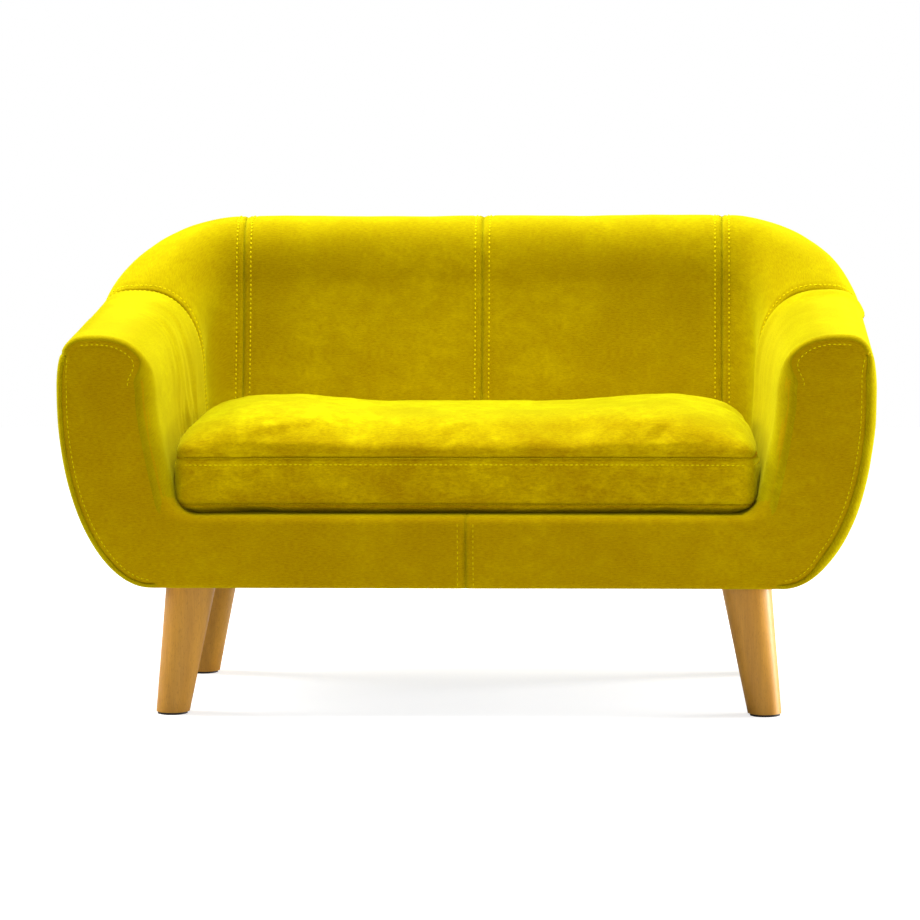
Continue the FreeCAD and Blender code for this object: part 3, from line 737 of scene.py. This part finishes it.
# front fascia
fascia = dict(sideRows=120, bandRows=60, across=26, edgeDepth=1.6 * mm, edgeWidth=4 * mm,
              innerDepth=0.6 * mm, innerWidth=3 * mm, centreDepth=1.4 * mm, centreWidth=3 * mm,
              rowDepth=0.45 * mm, padBehind=2.9 * mm, padThickness=2 * mm, cut=0.36, puff=1.3 * mm,
              stitchOffset=4.4 * mm, centreOffset=7.0 * mm, returnSteps=6)


def seatOpening():
    # right half of the seat's front edge, from the middle of the deck to the crest seam; body on the right
    inner = wallOutline(armFront, "inner", 600)[::-1]
    face = np.stack([halfWidth + inner[:, 0], inner[:, 1]], 1)
    face = face[face[:, 1] >= deckZ]
    r = seatEdge["fillet"]
    centreZ = deckZ + r
    low = face[face[:, 1] < centreZ + r * 0.6]
    reach = low[:, 0] - np.sqrt(np.maximum(r * r - (low[:, 1] - centreZ) ** 2, 0))
    touch = int(np.argmin(reach))
    centreX = reach[touch]
    end = math.atan2(low[touch, 1] - centreZ, low[touch, 0] - centreX)
    arc = [[centreX + r * math.cos(a), centreZ + r * math.sin(a)] for a in np.linspace(-math.pi / 2, end, 24)]
    band = np.stack([np.linspace(0, centreX, 60)[:-1], np.full(59, deckZ)], 1)
    above = face[face[:, 1] > low[touch, 1] + 0.3 * mm]
    return np.concatenate([band, np.array(arc), above]), len(band), len(band) + 24


def outerEdge():
    # right half of the body's lower and outer edge, from the middle of the underside to the crest seam
    outer = wallOutline(armFront, "outer", 400)
    side = np.stack([halfWidth + outer[:, 0], outer[:, 1]], 1)
    band = np.stack([np.linspace(0, side[0, 0], 60)[:-1], np.full(59, undersideZ)], 1)
    return np.concatenate([band, side]), len(band)


def sampleBetween(values, keys, steps):
    # values along a polyline, spread evenly by length between the key places
    line = values[:, :2]
    lengths = np.r_[0, np.cumsum(np.linalg.norm(np.diff(line, axis=0), axis=1))]
    at = [np.linspace(lengths[a], lengths[b], n + 1)[(1 if k else 0):]
          for k, ((a, b), n) in enumerate(zip(zip(keys, keys[1:]), steps))]
    at = np.concatenate(at)
    return np.stack([np.interp(at, lengths, values[:, c]) for c in range(values.shape[1])], 1)


def distanceToLine(points, line):
    a, ab = line[:-1], np.diff(line, axis=0)
    length2 = np.maximum((ab ** 2).sum(1), 1e-14)
    t = np.clip(((points[:, None] - a) * ab).sum(2) / length2, 0, 1)
    return np.linalg.norm(points[:, None] - (a + t[:, :, None] * ab), axis=2).min(1)


def dressFascia():
    rows, paths = [], dict(edge=[], centre=[])
    for side in ("right", "left"):
        opening, bandEnd, filletEnd = seatOpening()
        edge, edgeBand = outerEdge()
        inward = -leftNormals(opening)
        rise = smooth((np.arange(len(opening)) - bandEnd) / (filletEnd - bandEnd))
        crest = frontRadiusAt(opening[:, 1], "inner", side)
        radius = seatEdge["bandRadius"] + (crest - seatEdge["bandRadius"]) * rise
        hidden = seatEdge["tuck"] * smooth((np.arange(len(opening)) - bandEnd - 14) / 20.0)
        opening[:, 1] += seatEdge["rise"] * (1 - rise)
        innerTable = np.column_stack([opening, inward, radius, hidden])
        outward = leftNormals(edge)
        edgeRadius = frontRadiusAt(edge[:, 1], "outer", side)
        hiddenEdge = seatEdge["tuck"] * smooth((np.arange(len(edge)) - edgeBand - 2) / 30.0)
        outerTable = np.column_stack([edge, outward, edgeRadius, hiddenEdge])
        wideAt = int(np.argmin(np.abs(edge[:, 1] - armFront["wideZ"]) + (edge[:, 0] < 0.3)))
        seatAt = int(np.argmin(np.abs(opening[:, 1] - armFront["wideZ"]) + (opening[:, 0] > 0.29)))
        steps = (fascia["bandRows"], fascia["sideRows"] // 2, fascia["sideRows"] // 2)
        inner = sampleBetween(innerTable, [0, bandEnd, seatAt, len(opening) - 1], steps)
        outer = sampleBetween(outerTable, [0, edgeBand, wideAt, len(edge) - 1], steps)

        def rolled(table, angle, extra=0.0):
            # the edge turned back by angle; 0 is the flat face and a quarter turn the finished edge
            away = table[:, 4] - table[:, 5]
            flat = table[:, :2] + table[:, 2:4] * (table[:, 5] + away * (1 - math.sin(angle)))[:, None]
            return np.stack([flat[:, 0], frontY + away * (1 - math.cos(angle)) + extra, flat[:, 1]], 1)

        angles = np.linspace(0, math.pi / 2, fascia["returnSteps"] + 1)
        outerRoll = [rolled(outer, a) for a in angles[::-1]]
        innerRoll = [rolled(inner, a) for a in angles]
        innerRoll += [rolled(inner, math.pi / 2, seatEdge["returnLength"] * k / 5) for k in range(1, 6)]
        start, finish = outerRoll[-1], innerRoll[0]
        face = [start + (finish - start) * w for w in np.linspace(0, 1, fascia["across"])[1:-1]]
        grid = np.stack(outerRoll + face + innerRoll, 1)
        flat = grid[:, :, [0, 2]].reshape(-1, 2)
        outerSeam = start[fascia["bandRows"]:][:, [0, 2]]
        innerSeam = finish[fascia["bandRows"] + 12:][:, [0, 2]]
        toOuter = distanceToLine(flat, outerSeam).reshape(grid.shape[:2])
        toInner = distanceToLine(flat, innerSeam).reshape(grid.shape[:2])
        toEdge = np.minimum(toOuter, toInner)
        toAny = np.minimum(distanceToLine(flat, start[:, [0, 2]]), distanceToLine(flat, finish[:, [0, 2]]))
        toCentre = np.abs(grid[:, :, 0])
        lift = seamDip(toOuter, fascia["edgeDepth"], fascia["edgeWidth"])
        lift += seamDip(toInner, fascia["innerDepth"], fascia["innerWidth"])
        lift += seamDip(toCentre, fascia["centreDepth"], fascia["centreWidth"])
        lift += stitchDip(toEdge, fascia["stitchOffset"], fascia["rowDepth"])
        lift += stitchDip(toCentre, fascia["centreOffset"], fascia["rowDepth"])
        fullness = smooth(toAny.reshape(grid.shape[:2]) / (26 * mm))
        lift += fascia["puff"] * fullness * smooth(toCentre / (10 * mm))
        sign = -1 if side == "left" else 1
        ripple = softWaves(grid * np.array([sign, 1, 1]), 11, smooth(toEdge / (18 * mm)))
        grid[:, :, 1] -= lift + ripple * 0.8
        uv = grid[:, :, [0, 2]].copy()
        uv[:, :, 1] -= (grid[:, :, 1] - frontY) * np.linspace(1, -1, grid.shape[1])[None]
        faceGrid = grid[:, fascia["returnSteps"]:fascia["returnSteps"] + fascia["across"]]
        distances = edgeDistances(faceGrid)
        shoulder = fascia["bandRows"] + fascia["sideRows"] // 2 + 8
        for name, begin, stop in (("v0", fascia["bandRows"] + 2, -14), ("v1", shoulder, -14)):
            line = rowAt(faceGrid, distances, name, fascia["stitchOffset"], -0.2 * mm)[begin:stop]
            line[:, 1] -= 0.35 * mm
            paths["edge"].append(line * np.array([sign, 1, 1]))
        centre = rowAt(faceGrid, distances, "u0", fascia["centreOffset"], -0.2 * mm)
        centre[:, 1] -= 0.35 * mm
        paths["centre"].append(centre * np.array([sign, 1, 1]))
        if side == "left":
            grid, uv = mirrorGrid(grid), uv[::-1] * np.array([-1, 1])
        obj = panelObject("front_fascia_sewn_" + side, grid, looks["shadedFrontVelvet"], uv=uv)
        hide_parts("front_fascia_" + side)
        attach(obj, "frame")
        pad = faceGrid[::3, 2:-2:2].copy()
        pad[:, :, 1] = frontY + fascia["padBehind"]
        pad = mirrorGrid(pad) if side == "left" else pad
        foam = panelObject("front_pad_" + side, pad, looks["foam"], fascia["padThickness"])
        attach(foam, "frame")
        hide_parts("front_foam")
    beadRows("fascia_edge_stitches", paths["edge"], "frame", fasciaStitchLook, "thread")
    beadRows("fascia_centre_stitches", paths["centre"], "frame", fasciaStitchLook, "thread")


dressFascia()
print("fascia dressed")


# seat cushion
cushion = dict(frontY=-185 * mm, rearY=59 * mm, halfFront=247 * mm, halfRear=239.5 * mm, shiftX=-1.2 * mm,
               cornerFront=17 * mm, cornerRear=26 * mm, bottomZ=174.9 * mm, lowEdge=9 * mm, lowSeamZ=183 * mm,
               seamZ=223 * mm, crown=30 * mm, endRise=8 * mm, slack=3 * mm, halfWide=253 * mm, voxel=5 * mm,
               pressure=4.0, frames=20, furthest=6 * mm, weltRadius=0.8 * mm, stitchDrop=5.6 * mm,
               rearmost=64 * mm)
zipper = dict(z=200 * mm, start=-179 * mm, end=188 * mm, y=61.55 * mm, tapeHalf=195 * mm, stripHalf=13 * mm,
              flushY=59.9 * mm, tapeY=60.8 * mm)


def cushionRing(inset, count):
    # plan outline of the cushion, anticlockwise from above
    front, rear = cushion["frontY"] + inset, cushion["rearY"] - inset
    corners = [(cushion["halfFront"] - inset, front, cushion["cornerFront"] - inset, -90),
               (cushion["halfRear"] - inset, rear, cushion["cornerRear"] - inset, 0),
               (-cushion["halfRear"] + inset, rear, cushion["cornerRear"] - inset, 90),
               (-cushion["halfFront"] + inset, front, cushion["cornerFront"] - inset, 180)]
    points = []
    for x, y, r, turn in corners:
        cx, cy = x - math.copysign(r, x), y + (r if y < 0 else -r)
        points += [[cx + r * math.cos(math.radians(turn + a)) + cushion["shiftX"],
                    cy + r * math.sin(math.radians(turn + a))] for a in np.linspace(0, 90, 12)]
    return resample(np.array(points + points[:1]), count + 1)[:-1]


def cushionTop(x, y):
    middle = (cushion["frontY"] + cushion["rearY"]) / 2
    half = (cushion["rearY"] - cushion["frontY"]) / 2
    u = np.clip(np.abs(x - cushion["shiftX"]) / (cushion["halfFront"] + 1 * mm), 0, 1)
    v = np.clip(np.abs(y - middle) / (half + 1 * mm), 0, 1)
    fullness = ((1 - u ** 6.5) * (1 - v ** 3.0)) ** 0.55
    ends = smooth((np.abs(x) - 60 * mm) / (130 * mm))
    return cushion["seamZ"] + (cushion["crown"] + cushion["endRise"] * ends) * fullness


def cushionBlank():
    count, rings = 180, []
    slack, low = cushion["slack"], cushion["lowEdge"]
    edge = cushionRing(slack, count)
    centre = edge.mean(0)
    floorZ = cushion["bottomZ"] + 1 * mm
    for k in (0.3, 0.6, 0.85):
        rings.append(np.column_stack([centre + (edge - centre) * k, np.full(count, floorZ)]))
    for a in np.linspace(0, math.pi / 2, 5):
        ring = cushionRing(slack + low * (1 - math.sin(a)), count)
        rings.append(np.column_stack([ring, np.full(count, floorZ + low * (1 - math.cos(a)))]))
    for z in np.linspace(floorZ + low + 6 * mm, cushion["seamZ"] - 1 * mm, 6):
        rings.append(np.column_stack([edge, np.full(count, z)]))
    for k in np.linspace(0.985, 0.05, 26):
        ring = centre + (edge - centre) * k
        rings.append(np.column_stack([ring, cushionTop(ring[:, 0], ring[:, 1])]))
    verts = np.concatenate(rings + [[[*centre, floorZ]],
                                    [[*centre, cushionTop(np.array([centre[0]]), np.array([centre[1]]))[0]]]])
    faces = []
    for r in range(len(rings) - 1):
        for k in range(count):
            a, b = r * count + k, r * count + (k + 1) % count
            faces.append((a, b, b + count, a + count))
    last = (len(rings) - 1) * count
    for k in range(count):
        n = (k + 1) % count
        faces.append((len(verts) - 2, n, k))
        faces.append((len(verts) - 1, last + k, last + n))
    obj = meshObject("seat_cushion", verts, faces)
    grain = obj.modifiers.new("remesh", "REMESH")
    grain.mode, grain.voxel_size = "VOXEL", cushion["voxel"]
    return applyModifiers(obj)


def readPoints(mesh, kind="co"):
    values = np.zeros(len(mesh.vertices) * 3)
    mesh.vertices.foreach_get(kind, values)
    return values.reshape(-1, 3)


def writePoints(mesh, points):
    mesh.vertices.foreach_set("co", points.ravel())
    mesh.update()


def inflate(obj):
    # the stuffed cover is blown up by cloth simulation, and no point goes further than the cap
    start = readPoints(obj.data)
    cloth = obj.modifiers.new("stuffing", "CLOTH")
    settings = cloth.settings
    settings.quality = 5
    settings.use_pressure = True
    settings.uniform_pressure_force = cushion["pressure"]
    settings.effector_weights.gravity = 0.0
    settings.tension_stiffness = settings.compression_stiffness = 25
    settings.bending_stiffness = 0.6
    cloth.point_cache.frame_end = cushion["frames"]
    for number in range(1, cushion["frames"] + 1):
        bpy.context.scene.frame_set(number)
    deps = bpy.context.evaluated_depsgraph_get()
    moved = readPoints(obj.evaluated_get(deps).data) - start
    obj.modifiers.remove(cloth)
    bpy.context.scene.frame_set(1)
    far = np.linalg.norm(moved, axis=1, keepdims=True)
    stuffed = start + moved * np.minimum(1, cushion["furthest"] / np.maximum(far, 1e-9))
    # the pressure draws the ends in, so the cushion is brought back to its full width
    left, right = stuffed[:, 0].min(), stuffed[:, 0].max()
    widen = cushion["halfWide"] * 2 / (right - left)
    stuffed[:, 0] = cushion["shiftX"] + (stuffed[:, 0] - (left + right) / 2) * widen
    writePoints(obj.data, stuffed)
    print("cushion stuffed, furthest move", round(float(far.max()) / mm, 1), "mm")


def shapeCushion(obj):
    fine = obj.modifiers.new("fine", "SUBSURF")
    fine.levels = fine.render_levels = 1
    applyModifiers(obj)
    p, n = readPoints(obj.data), readPoints(obj.data, "normal")
    flat = np.stack([n[:, 0], n[:, 1], np.zeros(len(n))], 1)
    flat /= np.maximum(np.linalg.norm(flat, axis=1, keepdims=True), 0.3)
    side = smooth((1 - np.abs(n[:, 2])) / 0.5)
    stitchZ = cushion["seamZ"] - cushion["stitchDrop"]
    grooves = ((cushion["seamZ"], 2.6 * mm, 3.2 * mm), (cushion["lowSeamZ"], 1.8 * mm, 2.6 * mm),
               (stitchZ, 0.6 * mm, 1.6 * mm))
    for z, depth, width in grooves:
        p -= flat * (depth * side * np.exp(-((p[:, 2] - z) / width) ** 2))[:, None]
    lumps = np.array([waves(q, 0.075, 21) + 0.6 * waves(q, 0.03, 22) + 0.25 * waves(q, 0.014, 23) for q in p])
    topMask = smooth((p[:, 2] - cushion["seamZ"]) / (14 * mm))
    frontMask = side * smooth((p[:, 2] - cushion["lowSeamZ"] - 4 * mm) / (8 * mm)) * smooth(
        (cushion["seamZ"] - 8 * mm - p[:, 2]) / (6 * mm))
    p += n * (lumps * (1.5 * mm * topMask + 0.8 * mm * frontMask))[:, None]
    strip = smooth((zipper["stripHalf"] + 6 * mm - np.abs(p[:, 2] - zipper["z"])) / (6 * mm))
    strip *= smooth((zipper["tapeHalf"] + 8 * mm - np.abs(p[:, 0])) / (8 * mm))
    over = np.where(p[:, 1] > zipper["flushY"] / 2, p[:, 1] - zipper["flushY"], 0)
    p[:, 1] -= over * strip
    p[:, 1] = np.minimum(p[:, 1], cushion["rearmost"])
    p[:, 2] = np.maximum(p[:, 2], cushion["bottomZ"])
    writePoints(obj.data, p)
    obj.data.polygons.foreach_set("use_smooth", [True] * len(obj.data.polygons))
    obj.data.materials.clear()
    obj.data.materials.append(looks["litCushionVelvet"])


def ringOn(obj, z, lift, count=520):
    # the line round the cushion's sides at height z
    tree = BVHTree.FromPolygons([v.co for v in obj.data.vertices], [p.vertices for p in obj.data.polygons])
    ring = cushionRing(0.0, count)
    tangent = np.roll(ring, -1, 0) - np.roll(ring, 1, 0)
    tangent /= np.linalg.norm(tangent, axis=1, keepdims=True)
    points, normals = [], []
    for (x, y), (tx, ty) in zip(ring, tangent):
        out = Vector((ty, -tx, 0))
        hit, normal, index, distance = tree.ray_cast(Vector((x, y, z)) + out * 0.04, -out)
        points.append(hit + out * lift)
        normals.append(out)
    points = np.array([tuple(p) for p in points])
    for turn in range(3):
        points = (np.roll(points, 1, 0) + points * 2 + np.roll(points, -1, 0)) / 4
    return points, np.array([tuple(v) for v in normals])


def tubeRound(name, points, outs, radius, material):
    sides, up = 8, np.array([0, 0, 1.0])
    rings = [points + outs * radius * math.cos(a) + up * radius * math.sin(a)
             for a in np.linspace(0, 2 * math.pi, sides + 1)[:-1]]
    grid = np.stack(rings, 1)
    count = len(points)
    faces = [(i * sides + j, ((i + 1) % count) * sides + j, ((i + 1) % count) * sides + (j + 1) % sides,
              i * sides + (j + 1) % sides) for i in range(count) for j in range(sides)]
    return meshObject(name, grid.reshape(-1, 3), faces, material)


def makeCushion():
    obj = cushionBlank()
    inflate(obj)
    shapeCushion(obj)
    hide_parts("cushion_foam", "cushion_top_panel", "cushion_boxing", "cushion_bottom_panel")
    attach(obj, "cushion")
    for name, z, radius in (("cushion_top_welt", cushion["seamZ"], cushion["weltRadius"]),
                            ("cushion_bottom_welt", cushion["lowSeamZ"], cushion["weltRadius"])):
        points, outs = ringOn(obj, z, 0.3 * mm)
        welt = tubeRound(name, points, outs, radius, looks["welt"])
        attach(welt, "cushion")
    points, outs = ringOn(obj, cushion["seamZ"] - cushion["stitchDrop"], 0.15 * mm)
    beadRows("cushion_stitches", [np.concatenate([points, points[:1]])], "cushion", cushionStitchLook,
             "thread")


def makeZip():
    line = np.stack([np.linspace(zipper["start"], zipper["end"], 60), np.full(60, zipper["y"]),
                     np.full(60, zipper["z"])], 1)
    teeth = beadRows("zip_teeth", [line], "cushion", zipTeethLook, "zipTeeth")
    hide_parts("zip_chain")
    rows = []
    for z in (-8.5 * mm, 8.5 * mm):
        row = line.copy()
        row[:, 0] = np.linspace(-zipper["tapeHalf"] + 3 * mm, zipper["tapeHalf"] - 3 * mm, 60)
        row[:, 1], row[:, 2] = zipper["tapeY"], zipper["z"] + z
        rows.append(row)
    beadRows("zip_tape_stitches", rows, "cushion", zipStitchLook, "thread")


cushionStitchLook = dict(Pitch=4.3 * mm, Length=2.6 * mm, Width=0.95 * mm, Height=0.8 * mm)
zipTeethLook = dict(Pitch=1.9 * mm, Length=1.15 * mm, Width=3.7 * mm, Height=1.8 * mm)
zipStitchLook = dict(Pitch=3.0 * mm, Length=2.1 * mm, Width=0.45 * mm, Height=0.4 * mm)
makeCushion()
makeZip()
print("cushion and zip made")


# deck and underside
deck = dict(halfWidth=243 * mm, frontY=-184 * mm, rearY=69 * mm, clothHalf=244 * mm, padZ=172.8 * mm,
            clothZ=173.8 * mm, drop=2 * mm, edge=12 * mm, padThickness=6.2 * mm, clothThickness=0.6 * mm,
            cut=(0.49, 0.255))
dust = dict(halfWidth=247 * mm, frontY=-183.6 * mm, rearY=72 * mm, z=112.5 * mm, legRadius=19 * mm,
            legX=240 * mm, legY=(-153 * mm, 62 * mm), stapleInset=5.5 * mm, thickness=0.4 * mm,
            cut=(0.494, 0.256))
stapleLook = dict(Pitch=31 * mm, Length=9 * mm, Width=1.1 * mm, Height=0.7 * mm)


def flatGrid(halfWidth, y0, y1, z, columns, rows, drop, edge):
    x, y = np.meshgrid(np.linspace(-halfWidth, halfWidth, columns), np.linspace(y0, y1, rows), indexing="ij")
    fromEnds = np.minimum(y - min(y0, y1), max(y0, y1) - y)
    toEdge = np.minimum(halfWidth - np.abs(x), fromEnds)
    return np.stack([x, y, z - drop * (1 - smooth(toEdge / edge))], 2), toEdge


def makeDeck():
    grid, toEdge = flatGrid(deck["halfWidth"], deck["frontY"], deck["rearY"], deck["padZ"], 60, 36,
                            deck["drop"], deck["edge"])
    pad = panelObject("deck_padding", grid, looks["foam"], deck["padThickness"])
    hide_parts("deck_pad")
    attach(pad, "frame")
    grid, toEdge = flatGrid(deck["clothHalf"], deck["frontY"], deck["rearY"], deck["clothZ"], 110, 60,
                            deck["drop"], deck["edge"])
    grid[:, :, 2] += softWaves(grid, 31, smooth(toEdge / (20 * mm))) * 0.35
    cloth = panelObject("deck_lining", grid, looks["deckCloth"], deck["clothThickness"])
    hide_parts("deck_cloth")
    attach(cloth, "frame")


def makeDustCover():
    grid, toEdge = flatGrid(dust["halfWidth"], dust["rearY"], dust["frontY"], dust["z"], 150, 78, 0.0, 1.0)
    grid[:, :, 2] -= softWaves(grid, 41, smooth(toEdge / (25 * mm))) * 0.5
    holes = [(x, y, dust["legRadius"]) for x in (-dust["legX"], dust["legX"]) for y in dust["legY"]]
    obj = panelObject("dust_cover_cloth", grid, looks["dustCloth"], dust["thickness"], holes=holes)
    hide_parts("dust_cover")
    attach(obj, "frame")
    inset = dust["stapleInset"]
    w, y0, y1 = dust["halfWidth"] - inset, dust["frontY"] + inset, dust["rearY"] - inset
    z, cornerGap = dust["z"] - 0.3 * mm, 20 * mm
    paths = [[(-w, y, z), (w, y, z)] for y in (y0, y1)]
    paths += [[(x, y0 + cornerGap, z), (x, y1 - cornerGap, z)] for x in (-w, w)]
    staples = beadRows("dust_cover_staples", [resample(np.array(p), 30) for p in paths], "frame", stapleLook,
                       "steel")


makeDeck()
makeDustCover()
print("deck and underside made")


# camera, light and floor
view = dict(azimuth=3.2, elevation=5.5, distance=3.7, aim=(0.0, frontY, 0.25), lens=170.0,
            shiftX=-0.0049, shiftY=-0.0342, roll=-0.3)


def makeCamera():
    data = bpy.data.cameras.new("camera")
    data.lens = view["lens"]
    data.sensor_width = 36.0
    data.shift_x, data.shift_y = view["shiftX"], view["shiftY"]
    data.clip_end = 50
    camera = linked(bpy.data.objects.new("camera", data))
    az, el = math.radians(view["azimuth"]), math.radians(view["elevation"])
    back = Vector((math.sin(az) * math.cos(el), -math.cos(az) * math.cos(el), math.sin(el)))
    camera.location = Vector(view["aim"]) + back * view["distance"]
    turn = (-back).to_track_quat("-Z", "Y") @ Quaternion((0, 0, 1), math.radians(view["roll"]))
    camera.rotation_euler = turn.to_euler()
    bpy.context.scene.camera = camera


def areaLight(name, location, target, size, power):
    data = bpy.data.lights.new(name, "AREA")
    data.shape = "RECTANGLE"
    data.size, data.size_y = size
    data.energy = power
    light = linked(bpy.data.objects.new(name, data))
    light.location = location
    light.rotation_euler = (Vector(target) - Vector(location)).to_track_quat("-Z", "Y").to_euler()


studio = dict(reach=2.4, floorGrey=0.6, floorGlow=0.75, roomLight=0.2, backdrop=1.0)
# name: place, what it points at, size, power
softboxes = dict(
    topSoftbox=((0.0, 0.19, 2.0), (0, 0, 0.3), (2.2, 1.4), 64),
    frontFill=((0.2, -3.2, 0.9), (0, 0, 0.2), (2.0, 1.2), 5),
    leftSoftbox=((-1.9, 0.35, 1.25), (0.1, 0, 0.3), (0.8, 1.2), 40),
    rightSoftbox=((1.9, -0.1, 0.9), (0, 0, 0.25), (0.8, 1.2), 11),
    rightRim=((1.8, 0.4, 0.35), (0.3, 0, 0.25), (0.5, 0.9), 40))


def makeStage():
    reach, grey = studio["reach"], studio["floorGrey"]
    material, tree, shader = newMaterial("paleFloor")
    setInputs(shader, {"Base Color": (grey, grey, grey, 1), "Roughness": 0.9, "Specular IOR Level": 0.0,
                       "Emission Color": (1, 1, 1, 1)})
    seen = tree.nodes.new("ShaderNodeLightPath").outputs["Is Camera Ray"]
    glow = mathNode(tree, "MULTIPLY", seen, studio["floorGlow"])
    tree.links.new(glow, shader.inputs["Emission Strength"])
    corners = [(-reach, -reach, 0), (reach, -reach, 0), (reach, reach, 0), (-reach, reach, 0)]
    floor = meshObject("floor", corners, [(0, 1, 2, 3)], material)
    world = bpy.data.worlds.new("studio")
    world.use_nodes = True
    tree = world.node_tree
    room = tree.nodes["Background"]
    setInputs(room, {"Color": (1, 1, 1, 1), "Strength": studio["roomLight"]})
    behind = setInputs(tree.nodes.new("ShaderNodeBackground"),
                       {"Color": (1, 1, 1, 1), "Strength": studio["backdrop"]})
    path, choose = tree.nodes.new("ShaderNodeLightPath"), tree.nodes.new("ShaderNodeMixShader")
    tree.links.new(path.outputs["Is Camera Ray"], choose.inputs[0])
    tree.links.new(room.outputs[0], choose.inputs[1])
    tree.links.new(behind.outputs[0], choose.inputs[2])
    tree.links.new(choose.outputs[0], tree.nodes["World Output"].inputs["Surface"])
    bpy.context.scene.world = world
    for name, (place, target, size, power) in softboxes.items():
        areaLight(name, place, target, size, power)
    bpy.context.scene.view_settings.view_transform = "Standard"


def finishCadNodes():
    slots = {s["node"]: s["material_slot"] for s in frame["record"]["subparts"]}
    finishes = dict(velvet="velvet", beech="beech", pine="pine", plywood="plywood", foam="foam",
                    webbing="webbing", deck_cloth="deckCloth", dust_cloth="dustCloth", steel="steel",
                    glide="glide", zip_tape="zipTape", zip_metal="zipMetal")
    for name, obj in frame["nodes"].items():
        for place in obj.material_slots:
            place.material = looks[finishes[slots[name]]]


makeCamera()
makeStage()
finishCadNodes()
print("camera, light and finishes set")
